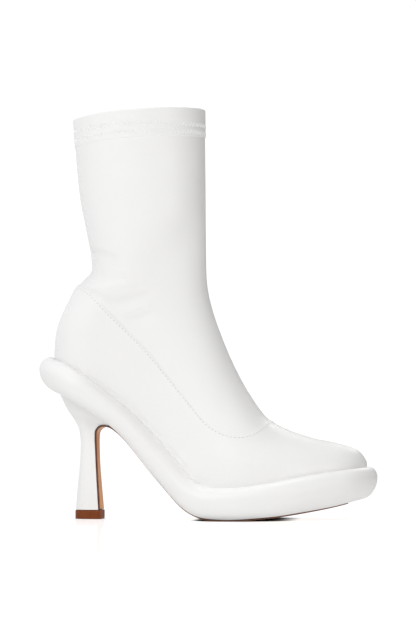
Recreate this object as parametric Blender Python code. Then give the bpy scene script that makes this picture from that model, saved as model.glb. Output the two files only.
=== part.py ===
"""Pull-on ankle boot for the right foot, on a padded platform and a high waisted heel.

The toe points along +X, the inner side of the foot is +Y, and the floor is z = 0.
The tables are in millimetres, and the meshes are made in metres.
"""
import math

import bpy
import numpy as np

MM = 0.001
GAP = 0.3            # clearance between pieces that touch
SEAM_GAP = 0.5       # clearance between vamp and leg, up their seam
FEATHER_GAP = 0.42   # clearance between upper and platform, along the feather line
SEAT_GAP = 0.4       # clearance between platform and heel
VAMP_WALL = 1.8      # lined vamp and quarters
SHAFT_WALL = 1.2     # stretch leg
HEM_WALL = 2.0       # leg turned over at the collar
HEM_DEPTH = 19.5     # from the rim down to the lower edge of the hem
LAP_STEP = 0.6       # how far the vamp stands proud of the leg at their seam
HEM_STEP = 0.5       # how far the hem stands proud of the leg
HEM_EDGE = 0.7       # height over which the hem steps out
INSOLE_THICK = 2.5
INSOLE_MARGIN = 1.0  # from the insole's edge to the wall around it
OUTSOLE_THICK = 1.6
WAIST_THICK = 1.0    # outsole where it is pared down under the waist
FLAP_THICK = 1.2     # outsole where it turns down the heel breast
OUTSOLE_MARGIN = 1.0
TOE_MARGIN = 6.0     # the outsole stops this much further inside at the toe
TOE_WIDTH = 5.0      # it starts where it is wider than this
SOLE_RECESS = 1.0    # the outsole is let this far up into the platform's underside
UNDER_INSET = 4.0    # the platform's flat underside lies this far inside the feather line
UNDER_ROUND = 0.85   # below 1 makes the lower half of the platform's edge squarer than an ellipse
TIP_HEIGHT = 6.2
TIP_MARGIN = 0.3     # the heel tip stands this far proud of the heel
TOE_SWING = 4.0      # the toe point leans this far to the inner side
SWING_START = 20.0   # from here to the toe
TOE_ROUND = 18.0     # length over which the toe's outline closes

ROUND_STEPS = 28     # wall quads from the back to the front, on each side
VAMP_ROWS = 12
VAMP_CROWDING = 1.3   # above 1 crowds the rows towards the feather line
SHAFT_ROWS = 13
SHAFT_CROWDING = 1.5  # above 1 crowds the rows towards the ankle
EDGE_STEPS = 10      # platform quads around its padded edge
SOLE_STEPS = 30      # platform and insole quads from heel to toe, on each side
HEEL_STEPS = 9       # heel quads from the back to the breast, on each side
HEEL_CROWDING = 0.8  # below 1 spreads the heel's points away from its back
FLAP_STEPS = 18
FINE = 400           # samples along a line that is shared out by length
BISECTIONS = 40      # halvings that find a place between two sections of the last
SHARP_ANGLE = 40.0   # edges that turn further than this are shaded sharp
PAD_SHARP_ANGLE = 60.0

# Sections of the last, fanned from the feather line and the back up to the crown.
LAST_COLUMNS = ("base_x", "base_z", "crown_x", "crown_z", "outer", "inner", "shoulder")
LAST = {
    "toe end":  (112.8, 37.0, 112.8, 40.5, 12.5, 12.5, 0.10),
    "toe cap":  (106.5, 36.5, 108.0, 47.5, 16.5, 16.0, 0.10),
    "toe":      (96.0, 35.1, 97.0, 52.1, 21.5, 20.5, 0.09),
    "vamp":     (72.0, 31.5, 72.0, 57.9, 31.5, 30.5, 0.08),
    "throat":   (44.0, 26.4, 45.4, 69.6, 38.5, 38.5, 0.08),
    "ball":     (20.0, 23.6, 31.8, 86.6, 40.0, 37.5, 0.10),
    "joint":    (0.0, 26.4, 21.7, 104.5, 37.0, 32.0, 0.20),
    "waist":    (-22.0, 48.9, 10.8, 129.5, 31.5, 27.0, 0.35),
    "shank":    (-46.0, 73.8, 3.7, 150.5, 28.5, 26.0, 0.45),
    "seat":     (-74.0, 95.7, 0.6, 167.0, 27.5, 26.5, 0.50),
    "heel":     (-98.0, 110.0, 0.1, 183.0, 27.5, 27.0, 0.50),
    "heel end": (-108.7, 114.6, -0.1, 198.0, 28.0, 27.5, 0.50),
    "counter":  (-102.5, 146.0, -0.2, 210.0, 29.5, 29.0, 0.50),
    "ankle":    (-82.3, 177.0, -0.3, 222.0, 31.0, 31.0, 0.50),
    "calf":     (-88.9, 215.0, -0.5, 246.0, 33.0, 33.0, 0.50),
    "collar":   (-95.6, 281.0, -1.0, 288.0, 35.5, 35.5, 0.50),
}
FEATHER_END = list(LAST).index("heel end")
THROAT = list(LAST).index("throat")

# Back of the boot from the heel up, and the length over which the sides close on it.
BACK_COLUMNS = ("z", "x", "round")
BACK = (
    (114.6, -108.7, 27.0),
    (123.0, -108.3, 28.0),
    (135.0, -106.6, 30.0),
    (147.6, -101.6, 32.0),
    (157.0, -96.9, 34.0),
    (163.0, -93.6, 35.0),
    (169.0, -87.9, 37.0),
    (174.0, -82.9, 39.0),
    (177.5, -82.3, 40.0),
    (186.0, -83.3, 41.0),
    (203.0, -86.3, 42.0),
    (224.0, -90.5, 44.0),
    (250.0, -93.4, 45.5),
    (281.0, -95.6, 46.5),
)

# Side view (x, z) of the seam between vamp and leg, and of the rim, from the back to the front.
SEAM = (
    (-91.4, 165.5),
    (-80.5, 159.4),
    (-64.5, 143.2),
    (-42.5, 121.6),
    (-24.5, 100.5),
    (-9.0, 81.2),
    (4.5, 65.8),
    (15.0, 59.9),
    (26.0, 58.5),
    (36.9, 61.7),
    (45.4, 69.6),
)
RIM = (
    (-95.6, 281.0),
    (-66.0, 284.6),
    (-34.0, 286.6),
    (-1.0, 288.0),
)

# The platform under each section of the last: its underside, how far its edge swells, and how its
# upper half is rounded (above 1 makes it slope).
PLATFORM_COLUMNS = ("low_x", "low_z", "bulge", "shoulder")
PLATFORM = {
    "toe end":  (111.6, 14.3, 9.3, 0.85),
    "toe cap":  (104.6, 12.7, 9.6, 0.85),
    "toe":      (94.0, 10.2, 10.1, 0.85),
    "vamp":     (70.5, 6.0, 10.5, 0.9),
    "throat":   (44.0, 2.4, 10.5, 0.95),
    "ball":     (14.0, 0.95, 10.5, 1.1),
    "joint":    (-6.8, 4.2, 10.5, 1.4),
    "waist":    (-33.2, 29.4, 10.5, 1.7),
    "shank":    (-60.0, 60.9, 11.0, 1.5),
    "seat":     (-84.0, 77.6, 12.0, 1.0),
    "heel":     (-98.0, 85.6, 12.5, 0.85),
    "heel end": (-105.5, 89.0, 13.6, 0.85),
}

# Heel sections from the seat down to the tip. The first lies under the platform.
HEEL_COLUMNS = ("back_x", "back_z", "breast_x", "breast_z", "half_width")
HEEL = (
    (-104.6, 88.0, -64.2, 65.4, 19.5),
    (-99.0, 76.8, -71.6, 66.4, 15.0),
    (-94.6, 70.3, -75.8, 65.2, 11.2),
    (-91.6, 64.8, -78.3, 62.2, 8.9),
    (-90.2, 58.4, -78.8, 57.8, 7.8),
    (-89.9, 49.0, -78.6, 48.6, 6.8),
    (-90.4, 38.5, -78.2, 38.3, 6.5),
    (-91.7, 25.0, -77.3, 25.0, 7.6),
    (-93.2, 6.5, -75.9, 6.5, 9.6),
)
HEEL_BACK_ROUND = 0.62   # share of a heel section over which its back is rounded

# Places along the outsole, from the toe to the heel breast.
TOE_PLACE = 60.0         # from here to the toe its margin grows
TREAD_FRONT = 34.0       # it lies flat on the floor from here
TREAD_BACK = 0.0         # to here
PARING_START = -8.0      # it is pared down from here
PARING_END = -25.0       # to here
RECESS_END = -63.0       # its recess runs out from here
RECESS_FADE = 4.0        # over this length
OUTSOLE_BREAST = -61.0   # behind this it leaves the platform and turns down the heel
SLOPE_STEP = 1.0         # length on each side of a place over which a slope is read

COLOURS = {
    "upper": ((0.90, 0.90, 0.89), 0.42),
    "shaft": ((0.90, 0.90, 0.89), 0.46),
    "insole": ((0.82, 0.78, 0.72), 0.60),
    "platform": ((0.90, 0.90, 0.89), 0.44),
    "outsole": ((0.47, 0.22, 0.10), 0.50),
    "heel": ((0.90, 0.90, 0.89), 0.40),
    "heel_tip": ((0.21, 0.07, 0.02), 0.55),
}


def picked(table, columns, *names):
    """Rows of a table, with only the named columns."""
    rows = table.values() if isinstance(table, dict) else table
    return np.array([[row[columns.index(name)] for name in names] for row in rows])


def through(knots, rows, at):
    """Smooth curve through rows of values, read at places along the knots."""
    at = np.clip(np.asarray(at, float), knots[0], knots[-1])
    widths = np.diff(knots)[:, None]
    chords = np.diff(rows, axis=0) / widths
    inner = (widths[1:] * chords[:-1] + widths[:-1] * chords[1:]) / (widths[1:] + widths[:-1])
    slopes = np.vstack([chords[:1], inner, chords[-1:]])
    i = np.clip(np.searchsorted(knots, at, side="right") - 1, 0, len(knots) - 2)
    h = widths[i]
    f = (at - knots[i])[..., None] / h
    start = rows[i] * (1 + 2 * f) * (1 - f) ** 2 + h * slopes[i] * f * (1 - f) ** 2
    return start + rows[i + 1] * f ** 2 * (3 - 2 * f) + h * slopes[i + 1] * f ** 2 * (f - 1)


def along(points):
    """Length from the first point of a line to each of its points."""
    steps = np.linalg.norm(np.diff(points, axis=0), axis=1)
    return np.concatenate([[0.0], np.cumsum(steps)])


def shared_out(points, fractions):
    """Points of a line at the given fractions of its length."""
    points = np.asarray(points, float)
    length = along(points)
    return np.stack([np.interp(np.asarray(fractions) * length[-1], length, column)
                     for column in points.T], axis=1)


def eased(count):
    """Fractions from 0 to 1 that crowd towards both ends."""
    return (1 - np.cos(np.linspace(0, math.pi, count + 1))) / 2


def smooth_step(value):
    """Eases from 0 to 1."""
    value = np.clip(value, 0, 1)
    return value * value * (3 - 2 * value)


def quarter_round(depth, length):
    """Rises from 0 to 1 over a length, as a quarter of an ellipse does."""
    return np.sqrt(1 - (1 - np.clip(depth / length, 0, 1)) ** 2)


FEATHER = picked(LAST, LAST_COLUMNS, "base_x", "base_z")
CROWN = picked(LAST, LAST_COLUMNS, "crown_x", "crown_z")
GIRTH = picked(LAST, LAST_COLUMNS, "outer", "inner", "shoulder")
LAST_KNOTS = (along(FEATHER) + along(CROWN)) / 2
TOE_X = FEATHER[0, 0]
UNDERSIDE = picked(PLATFORM, PLATFORM_COLUMNS, "low_x", "low_z")
BULGE = picked(PLATFORM, PLATFORM_COLUMNS, "bulge", "shoulder")
PLATFORM_KNOTS = LAST_KNOTS[:len(PLATFORM)]
BACK_HEIGHTS = picked(BACK, BACK_COLUMNS, "z")[:, 0]
BACK_SHAPE = picked(BACK, BACK_COLUMNS, "x", "round")
HEEL_BACK = picked(HEEL, HEEL_COLUMNS, "back_x", "back_z")
HEEL_BREAST = picked(HEEL, HEEL_COLUMNS, "breast_x", "breast_z")
HEEL_WIDTH = picked(HEEL, HEEL_COLUMNS, "half_width")


def fan_place(x, z):
    """Which section of the fan passes through a side-view point, and how far up it lies."""
    low = np.zeros_like(x)
    high = np.full_like(x, LAST_KNOTS[-1])
    for _ in range(BISECTIONS):
        section = (low + high) / 2
        base_x, base_z = through(LAST_KNOTS, FEATHER, section).T
        run_x, run_z = through(LAST_KNOTS, CROWN - FEATHER, section).T
        behind = run_x * (z - base_z) - run_z * (x - base_x) > 0
        low, high = np.where(behind, section, low), np.where(behind, high, section)
    height = ((x - base_x) * run_x + (z - base_z) * run_z) / (run_x ** 2 + run_z ** 2)
    return section, np.clip(height, 0, 1)


def half_widths(x, z):
    """Half-widths of the boot to its outer and inner side at side-view points."""
    x, z = np.asarray(x, float), np.asarray(z, float)
    section, height = fan_place(x, z)
    outer, inner, shoulder = through(LAST_KNOTS, GIRTH, section).T
    arch = np.sqrt(1 - np.clip((height - shoulder) / (1 - shoulder), 0, 1) ** 2)
    back_x, back_round = through(BACK_HEIGHTS, BACK_SHAPE, z).T
    closing = quarter_round(x - back_x, back_round) * quarter_round(TOE_X - x, TOE_ROUND)
    return outer * arch * closing, inner * arch * closing


def centre_line(x):
    """Sideways lean of the toe towards the inner side."""
    return TOE_SWING * np.clip((x - SWING_START) / (TOE_X - SWING_START), 0, 1) ** 2


def loop_of(side_points, outer, inner):
    """Closed loop: along the outer side from back to front, and home along the inner side."""
    x, z = side_points.T
    middle = centre_line(x)
    outer_line = np.stack([x, middle - outer, z], axis=1)
    inner_line = np.stack([x, middle + inner, z], axis=1)
    return np.vstack([outer_line, inner_line[-2:0:-1]])


def feather_sections(fractions):
    """Sections of the fan at fractions of the feather line, from heel to toe."""
    fan = np.linspace(LAST_KNOTS[FEATHER_END], 0, FINE)
    length = along(through(LAST_KNOTS, FEATHER, fan))
    return np.interp(np.asarray(fractions) * length[-1], length, fan)


def feather_line(fractions):
    """Side view of the feather line, where the upper meets the platform."""
    return through(LAST_KNOTS, FEATHER, feather_sections(fractions))


def front_line(first, last, fractions):
    """Side view of the boot's front between two sections, by fractions of its length."""
    fan = np.linspace(LAST_KNOTS[first], LAST_KNOTS[last], FINE)
    points = through(LAST_KNOTS, CROWN, fan)
    if first == 0:
        points = np.vstack([FEATHER[:1], points])
    return shared_out(points, fractions)


def back_line(low_z, high_z, fractions):
    """Side view of the boot's back between two heights."""
    heights = np.linspace(low_z, high_z, FINE)
    back_x = through(BACK_HEIGHTS, BACK_SHAPE, heights)[:, 0]
    return shared_out(np.stack([back_x, heights], axis=1), fractions)


def leg_front(low_z, high_z, fractions):
    """Side view of the leg's front between two heights."""
    front = front_line(THROAT, len(LAST) - 1, np.linspace(0, 1, FINE))
    heights = np.linspace(low_z, high_z, FINE)
    front_x = np.interp(heights, front[:, 1], front[:, 0])
    return shared_out(np.stack([front_x, heights], axis=1), fractions)


def table_line(rows, fractions):
    """Side view of a line given by a table of points."""
    rows = np.array(rows)
    knots = along(rows)
    return shared_out(through(knots, rows, np.linspace(0, knots[-1], FINE)), fractions)


def rim_line(drop, fractions):
    """Side view of a line around the leg that runs level with the rim, a given drop below it."""
    line = table_line(RIM, fractions)
    line[:, 1] -= drop
    back_x = back_line(line[0, 1], BACK_HEIGHTS[-1], [0])[0, 0]
    front_x = leg_front(line[-1, 1], RIM[-1][1], [0])[0, 0]
    line[:, 0] += (1 - fractions) * (back_x - RIM[0][0]) + fractions * (front_x - RIM[-1][0])
    return line


def patch(low, high, back, front, rise):
    """Side-view grid that fills the space between four lines."""
    share = eased(len(low) - 1)[None, :, None]
    rise = rise[:, None, None]
    between = (1 - rise) * low[None] + rise * high[None]
    ends = (1 - share) * (back[:, None] - ((1 - rise) * low[0] + rise * high[0]))
    return between + ends + share * (front[:, None] - ((1 - rise) * low[-1] + rise * high[-1]))


def wall_loops(grid):
    """Loops of the boot's outer face over a side-view grid."""
    loops = []
    for row in grid:
        outer, inner = half_widths(row[:, 0], row[:, 1])
        outer[[0, -1]] = inner[[0, -1]] = 0
        loops.append(loop_of(row, outer, inner))
    return np.array(loops)


def outward(loops):
    """Unit normals of a stack of closed loops, pointing out of the boot."""
    around = np.roll(loops, -1, axis=1) - np.roll(loops, 1, axis=1)
    up = np.gradient(loops, axis=0)
    normals = np.cross(around, up)
    return normals / np.linalg.norm(normals, axis=2, keepdims=True)


def ring_faces(rings, count):
    """Triangles that join each ring of points to the next one, mirrored from side to side."""
    faces = []
    for ring in range(rings - 1):
        for i in range(count):
            low, high = ring * count, (ring + 1) * count
            j = (i + 1) % count
            if i < count // 2:
                faces += [(low + i, low + j, high + j), (low + i, high + j, high + i)]
            else:
                faces += [(low + i, low + j, high + i), (low + j, high + j, high + i)]
    return faces


def strip_faces(start, count, flip):
    """Faces across a closed loop, between points of its outer and its inner side."""
    half = count // 2
    faces = []
    for i in range(half):
        a, b = start + i, start + i + 1
        c, d = start + (count - i - 1) % count, start + (count - i) % count
        face = tuple(dict.fromkeys((a, b, c, d)))
        faces.append(face[::-1] if flip else face)
    return faces


def add_boot():
    """Empty that carries the pieces, placed so that the platform is centred on the origin."""
    loops = platform_loops().reshape(-1, 3)
    boot = bpy.data.objects.new("boot", None)
    boot.location = (*(-MM * (loops.min(axis=0) + loops.max(axis=0))[:2] / 2), 0)
    bpy.context.scene.collection.objects.link(boot)
    return boot


def add_piece(name, points, faces, sharp_angle=SHARP_ANGLE):
    """Make one named piece with its own material from points in millimetres."""
    mesh = bpy.data.meshes.new(name)
    mesh.from_pydata((np.asarray(points) * MM).tolist(), [], faces)
    mesh.validate()
    mesh.shade_smooth()
    mesh.set_sharp_from_angle(angle=math.radians(sharp_angle))
    piece = bpy.data.objects.new(name, mesh)
    bpy.context.scene.collection.objects.link(piece)
    piece.parent = bpy.data.objects["boot"]
    colour, roughness = COLOURS[name]
    material = bpy.data.materials.new(name)
    material.use_nodes = True
    shader = material.node_tree.nodes["Principled BSDF"]
    shader.inputs["Base Color"].default_value = (*colour, 1)
    shader.inputs["Roughness"].default_value = roughness
    shader.inputs["Metallic"].default_value = 0.0
    mesh.materials.append(material)
    return piece


def add_wall(name, outer, inner):
    """Hollow wall between an outer and an inner stack of loops, with a rim at each end."""
    rings = np.concatenate([outer, inner[::-1], outer[:1]])
    count = outer.shape[1]
    faces = ring_faces(len(rings), count)
    total = (len(rings) - 1) * count
    faces = [tuple(point % total for point in face) for face in faces]
    return add_piece(name, rings[:-1].reshape(-1, 3), faces)


def platform_top(x):
    """Height of the platform's top at a place along the boot."""
    line = feather_line(np.linspace(0, 1, FINE))
    return np.interp(x, line[:, 0], line[:, 1])


def platform_low(x):
    """Height of the platform's underside at a place along the boot."""
    order = np.linspace(PLATFORM_KNOTS[-1], PLATFORM_KNOTS[0], FINE)
    low_x, low_z = through(PLATFORM_KNOTS, UNDERSIDE, order).T
    return np.interp(x, low_x, low_z)


def slope_of(height, x):
    """Slope along the boot of a height that depends on the place."""
    return (height(x + SLOPE_STEP) - height(x - SLOPE_STEP)) / (2 * SLOPE_STEP)


def sole_seat(x):
    """Height of the recess in the platform's underside, which the outsole is let into."""
    recess = SOLE_RECESS * np.hypot(1, slope_of(platform_low, x))
    return platform_low(x) + recess * smooth_step((x - RECESS_END) / RECESS_FADE + 1)


def upper_faces():
    """Outer and inner loops of the vamp and quarters."""
    share = eased(ROUND_STEPS)
    rise = np.linspace(0, 1, VAMP_ROWS + 1) ** VAMP_CROWDING
    grid = patch(feather_line(share), table_line(SEAM, share),
                 back_line(BACK_HEIGHTS[0], SEAM[0][1], rise), front_line(0, THROAT, rise), rise)
    outer = wall_loops(grid)
    normals = outward(outer)
    inner = outer - VAMP_WALL * normals
    inner[:, :, 2] = np.maximum(inner[:, :, 2], platform_top(inner[:, :, 0]))
    return outer, inner


def leg_grid(low, high, rise):
    """Side-view grid of the leg between two lines around it."""
    back = back_line(low[0, 1], high[0, 1], rise)
    return patch(low, high, back, leg_front(low[-1, 1], high[-1, 1], rise), rise)


def shaft_faces():
    """Outer and inner loops of the leg, stepped out at the hem."""
    share = eased(ROUND_STEPS)
    seam, hem, rim = table_line(SEAM, share), rim_line(HEM_DEPTH, share), rim_line(0, share)
    low_rise = SEAM_GAP / (hem[0, 1] - seam[0, 1])
    leg_rise = low_rise + (1 - low_rise) * np.linspace(0, 1, SHAFT_ROWS + 1) ** SHAFT_CROWDING
    edge = HEM_EDGE / HEM_DEPTH
    hem_rise = np.array([edge, 0.5, 1 - edge, 1])
    loops = wall_loops(np.concatenate([leg_grid(seam, hem, leg_rise), leg_grid(hem, rim, hem_rise)]))
    proud = np.concatenate([np.full(len(leg_rise), -LAP_STEP), [HEM_STEP - LAP_STEP] * 3, [-LAP_STEP]])
    wall = np.concatenate([np.full(len(leg_rise), SHAFT_WALL), [HEM_WALL] * 3, [HEM_WALL - HEM_STEP]])
    normals = outward(loops)
    outer = loops + proud[:, None, None] * normals
    return outer, outer - wall[:, None, None] * normals


def plan_outward(ring):
    """Unit vectors, level with the floor, that point out of a closed ring."""
    around = np.roll(ring, -1, axis=0) - np.roll(ring, 1, axis=0)
    out = np.stack([around[:, 1], -around[:, 0], np.zeros(len(around))], axis=1)
    return out / np.linalg.norm(out, axis=1, keepdims=True)


def platform_loops():
    """Loops around the platform's padded edge, from its top to its underside."""
    share = eased(SOLE_STEPS)
    sections = feather_sections(share)
    top = feather_line(share)
    outer, inner = half_widths(*top.T)
    outer[[0, -1]] = inner[[0, -1]] = 0
    wall = loop_of(top, outer, inner)
    low = loop_of(through(PLATFORM_KNOTS, UNDERSIDE, sections), outer, inner)
    low[:, 1] = wall[:, 1]
    edge = through(PLATFORM_KNOTS, BULGE, sections)
    swell, shoulder = np.concatenate([edge, edge[-2:0:-1]]).T
    out = plan_outward(wall)
    loops = []
    for angle in np.linspace(0, math.pi, EDGE_STEPS + 1):
        down = (1 - math.cos(angle)) / 2
        roundness = shoulder if angle < math.pi / 2 else UNDER_ROUND
        swelling = swell * max(math.sin(angle), 0) ** roundness - UNDER_INSET * down
        loops.append(wall + (low - wall) * down + swelling[:, None] * out)
    loops = np.array(loops)
    loops[-1, :, 2] = sole_seat(loops[-1, :, 0])
    loops[0, :, 2] = platform_top(loops[0, :, 0]) - FEATHER_GAP
    return loops


def add_platform():
    """Padded platform, with its round edge standing proud of the upper."""
    loops = platform_loops()[::-1]
    rings, count = loops.shape[:2]
    faces = ring_faces(rings, count)
    faces += strip_faces(0, count, flip=True) + strip_faces((rings - 1) * count, count, flip=False)
    return add_piece("platform", loops.reshape(-1, 3), faces, PAD_SHARP_ANGLE)


def add_insole(upper_inner):
    """Footbed that lies on the platform inside the upper's wall."""
    low = inset_ring(upper_inner[0], INSOLE_MARGIN)
    low[:, 2] = platform_top(low[:, 0])
    high = low + np.array([0, 0, INSOLE_THICK])
    count = len(low)
    faces = ring_faces(2, count)
    faces += strip_faces(0, count, flip=True) + strip_faces(count, count, flip=False)
    return add_piece("insole", np.vstack([low, high]), faces)


def heel_lines(steps):
    """Side view of the heel's back and breast, and its half-width, from seat to tip."""
    knots = along(HEEL_BACK) + along(HEEL_BREAST)
    places = np.linspace(0, knots[-1], steps + 1)
    half_width = through(knots, HEEL_WIDTH, places)[:, 0]
    return through(knots, HEEL_BACK, places), through(knots, HEEL_BREAST, places), half_width


def heel_outline(back, breast, half_width):
    """Closed loop of one heel section, flat at the breast and rounded at the back."""
    share = (2 * eased(HEEL_STEPS * 2)[:HEEL_STEPS + 1, None]) ** HEEL_CROWDING
    x, z = (back + (breast - back) * share).T
    width = half_width * quarter_round(share[:, 0], HEEL_BACK_ROUND)
    outer = np.stack([x, -width, z], axis=1)
    inner = np.stack([x, width, z], axis=1)
    return np.vstack([outer, inner[:0:-1]])


def add_heel_loops(name, loops):
    """Make a piece from heel sections, from the lowest one up."""
    rings, count = loops.shape[:2]
    faces = ring_faces(rings, count)
    for start, flip in ((0, True), ((rings - 1) * count, False)):
        for i in range(HEEL_STEPS):
            outer_a, outer_b = start + i, start + i + 1
            inner_a, inner_b = start + (count - i) % count, start + count - i - 1
            face = tuple(dict.fromkeys((outer_a, outer_b, inner_b, inner_a)))
            faces.append(face[::-1] if flip else face)
    return add_piece(name, loops.reshape(-1, 3), faces)


def add_heel():
    """Waisted heel that flares out under the platform and again at the floor."""
    loops = np.array([heel_outline(*line) for line in zip(*heel_lines(2 * len(HEEL)))])
    seat_x, _, seat_z = platform_loops()[-1, :SOLE_STEPS + 1].T
    loops[0, :, 2] = np.interp(loops[0, :, 0], seat_x, seat_z) - SEAT_GAP
    return add_heel_loops("heel", loops[::-1])


def add_heel_tip():
    """Hard-wearing tip under the heel and under the end of the outsole's flap."""
    back = np.array([HEEL_BACK[-1, 0] - TIP_MARGIN, 0])
    breast = np.array([HEEL_BREAST[-1, 0] + GAP + FLAP_THICK + TIP_MARGIN, 0])
    low = heel_outline(back, breast, HEEL_WIDTH[-1, 0] + TIP_MARGIN)
    return add_heel_loops("heel_tip", np.array([low, low + np.array([0, 0, TIP_HEIGHT])]))


def inset_ring(ring, margin):
    """Plan outline drawn in by a margin, or by a margin of its own at each point."""
    drawn = ring.copy()
    drawn[:, :2] -= np.reshape(margin, (-1, 1)) * plan_outward(ring)[:, :2]
    return drawn


def forefoot_sections():
    """Sections of the outsole under the platform, each with two upper and two lower corners."""
    seat = platform_loops()[-1]
    toe_share = smooth_step((seat[:, 0] - TOE_PLACE) / (TOE_X - TOE_PLACE))
    ring = inset_ring(seat, OUTSOLE_MARGIN + TOE_MARGIN * toe_share)
    count = len(ring)
    sections = []
    for i in range(SOLE_STEPS - 1, 0, -1):
        pair = ring[[i, count - i]]
        x = pair[:, 0]
        if pair[1, 1] - pair[0, 1] < TOE_WIDTH:
            continue
        if x.min() < OUTSOLE_BREAST:
            break
        down = np.stack([slope_of(sole_seat, x), np.zeros(2), -np.ones(2)], axis=1)
        down /= np.linalg.norm(down, axis=1, keepdims=True)
        upper = np.column_stack([pair[:, :2], sole_seat(x)]) + GAP * down
        pared = smooth_step((PARING_START - x) / (PARING_START - PARING_END))
        lower = upper + (OUTSOLE_THICK + (WAIST_THICK - OUTSOLE_THICK) * pared)[:, None] * down
        on_floor = (x > TREAD_BACK) & (x < TREAD_FRONT)
        lower[:, 2] = np.where(on_floor, 0, np.maximum(lower[:, 2], 0))
        sections.append([upper[0], upper[1], lower[1], lower[0]])
    return sections


def flap_sections():
    """Sections of the outsole's flap, which lies on the heel breast down to the tip."""
    _, breast, half_width = heel_lines(FLAP_STEPS)
    turn = np.gradient(breast, axis=0)
    turn /= np.linalg.norm(turn, axis=1, keepdims=True)
    forward = np.stack([-turn[:, 1], turn[:, 0]], axis=1)
    near = breast + GAP * forward
    far = near + FLAP_THICK * forward
    sections = []
    for (near_x, near_z), (far_x, far_z), half in list(zip(near, far, half_width))[1:]:
        sections.append([(near_x, -half, near_z), (near_x, half, near_z),
                         (far_x, half, far_z), (far_x, -half, far_z)])
    return sections


def add_outsole():
    """Thin sole under the platform, carried on down the heel breast."""
    sections = np.array(forefoot_sections() + flap_sections())
    last = 4 * (len(sections) - 1)
    faces = ring_faces(len(sections), 4)
    faces += [(3, 2, 1, 0), (last, last + 1, last + 2, last + 3)]
    return add_piece("outsole", sections.reshape(-1, 3), faces)


def main():
    for old in list(bpy.data.objects):
        bpy.data.objects.remove(old, do_unlink=True)
    add_boot()
    upper_outer, upper_inner = upper_faces()
    add_wall("upper", upper_outer, upper_inner)
    add_wall("shaft", *shaft_faces())
    add_platform()
    add_insole(upper_inner)
    add_outsole()
    add_heel()
    add_heel_tip()


main()
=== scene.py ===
"""Dresses a white pull-on ankle boot: its leathers, stitching, padded platform, heel, sole and studio.

The toe points along +X, the inner side of the foot is +Y, and the floor is z = 0.
The tables are in millimetres, and everything else is in metres.
"""
import math
from functools import lru_cache

import bpy
import numpy as np
from bpy.props import FloatProperty, FloatVectorProperty, PointerProperty
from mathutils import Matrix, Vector


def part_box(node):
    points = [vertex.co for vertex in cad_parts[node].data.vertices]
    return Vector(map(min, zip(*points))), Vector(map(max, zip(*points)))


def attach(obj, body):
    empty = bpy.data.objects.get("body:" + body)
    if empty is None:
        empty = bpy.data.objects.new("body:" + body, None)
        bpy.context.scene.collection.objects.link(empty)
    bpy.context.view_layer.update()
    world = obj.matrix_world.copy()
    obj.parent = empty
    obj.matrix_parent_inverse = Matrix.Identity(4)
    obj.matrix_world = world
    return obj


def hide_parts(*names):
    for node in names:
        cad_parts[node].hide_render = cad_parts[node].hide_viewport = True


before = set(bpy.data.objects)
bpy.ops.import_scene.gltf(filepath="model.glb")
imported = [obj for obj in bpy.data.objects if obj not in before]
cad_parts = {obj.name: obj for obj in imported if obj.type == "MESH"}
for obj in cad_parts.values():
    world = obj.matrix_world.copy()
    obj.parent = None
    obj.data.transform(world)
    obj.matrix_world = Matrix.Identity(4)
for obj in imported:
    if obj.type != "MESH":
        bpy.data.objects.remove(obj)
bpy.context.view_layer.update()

bl_info = {
    "name": "White Ankle Boot",
    "version": (1, 0, 0),
    "blender": (4, 5, 0),
    "location": "3D View > Sidebar > Boot",
    "description": "Makes the visible pieces of a white high-heeled ankle boot, and a studio for it",
    "category": "Object",
}

MM = 0.001

TOE_SWING = 4.0 * MM       # the toe point leans this far to the inner side
SWING_START = 20.0 * MM    # from here to the toe
TOE_ROUND = 18.0 * MM      # length over which the toe's outline closes
UNDER_INSET = 4.0 * MM     # the platform's flat underside lies this far inside the feather line
UNDER_ROUND = 0.85         # below 1 makes the lower half of the platform's edge squarer than an ellipse
OUTSOLE_MARGIN = 1.0 * MM
TOE_MARGIN = 6.0 * MM      # the outsole stops this much further inside at the toe
TOE_WIDTH = 5.0 * MM       # it starts where it is wider than this
OUTSOLE_THICK = 1.6 * MM
WAIST_THICK = 1.0 * MM     # outsole where it is pared down, under the waist and towards the toe
FLAP_THICK = 1.2 * MM      # outsole where it turns down the heel breast
SOLE_RECESS = 1.0 * MM     # the outsole is let this far up into the platform's underside
SOLE_GAP = 0.3 * MM
TIP_HEIGHT = 6.2 * MM
TIP_MARGIN = 0.3 * MM      # the heel tip stands this far proud of the heel
FOOTBED_THICK = 2.5 * MM
FOOTBED_MARGIN = 1.0 * MM
HEM_DEPTH = 19.5 * MM      # from the rim down to the lower edge of the hem
TOE_PLACE = 60.0 * MM      # from here to the toe the outsole's margin grows and it is pared down
TREAD_FRONT = 34.0 * MM    # it lies flat on the floor from here
TREAD_BACK = 0.0 * MM      # to here
PARING_START = -8.0 * MM   # under the waist it is pared down from here
PARING_END = -25.0 * MM    # to here
RECESS_END = -63.0 * MM    # its recess runs out from here
RECESS_FADE = 4.0 * MM     # over this length
OUTSOLE_BREAST = -61.0 * MM   # behind this the outsole leaves the platform and turns down the heel
SLOPE_STEP = 1.0 * MM      # length on each side of a place over which a slope is read
HEEL_BACK_ROUND = 0.62     # share of a heel section over which its back is rounded
HEEL_CROWDING = 0.8        # below 1 spreads the heel's points away from its back

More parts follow.
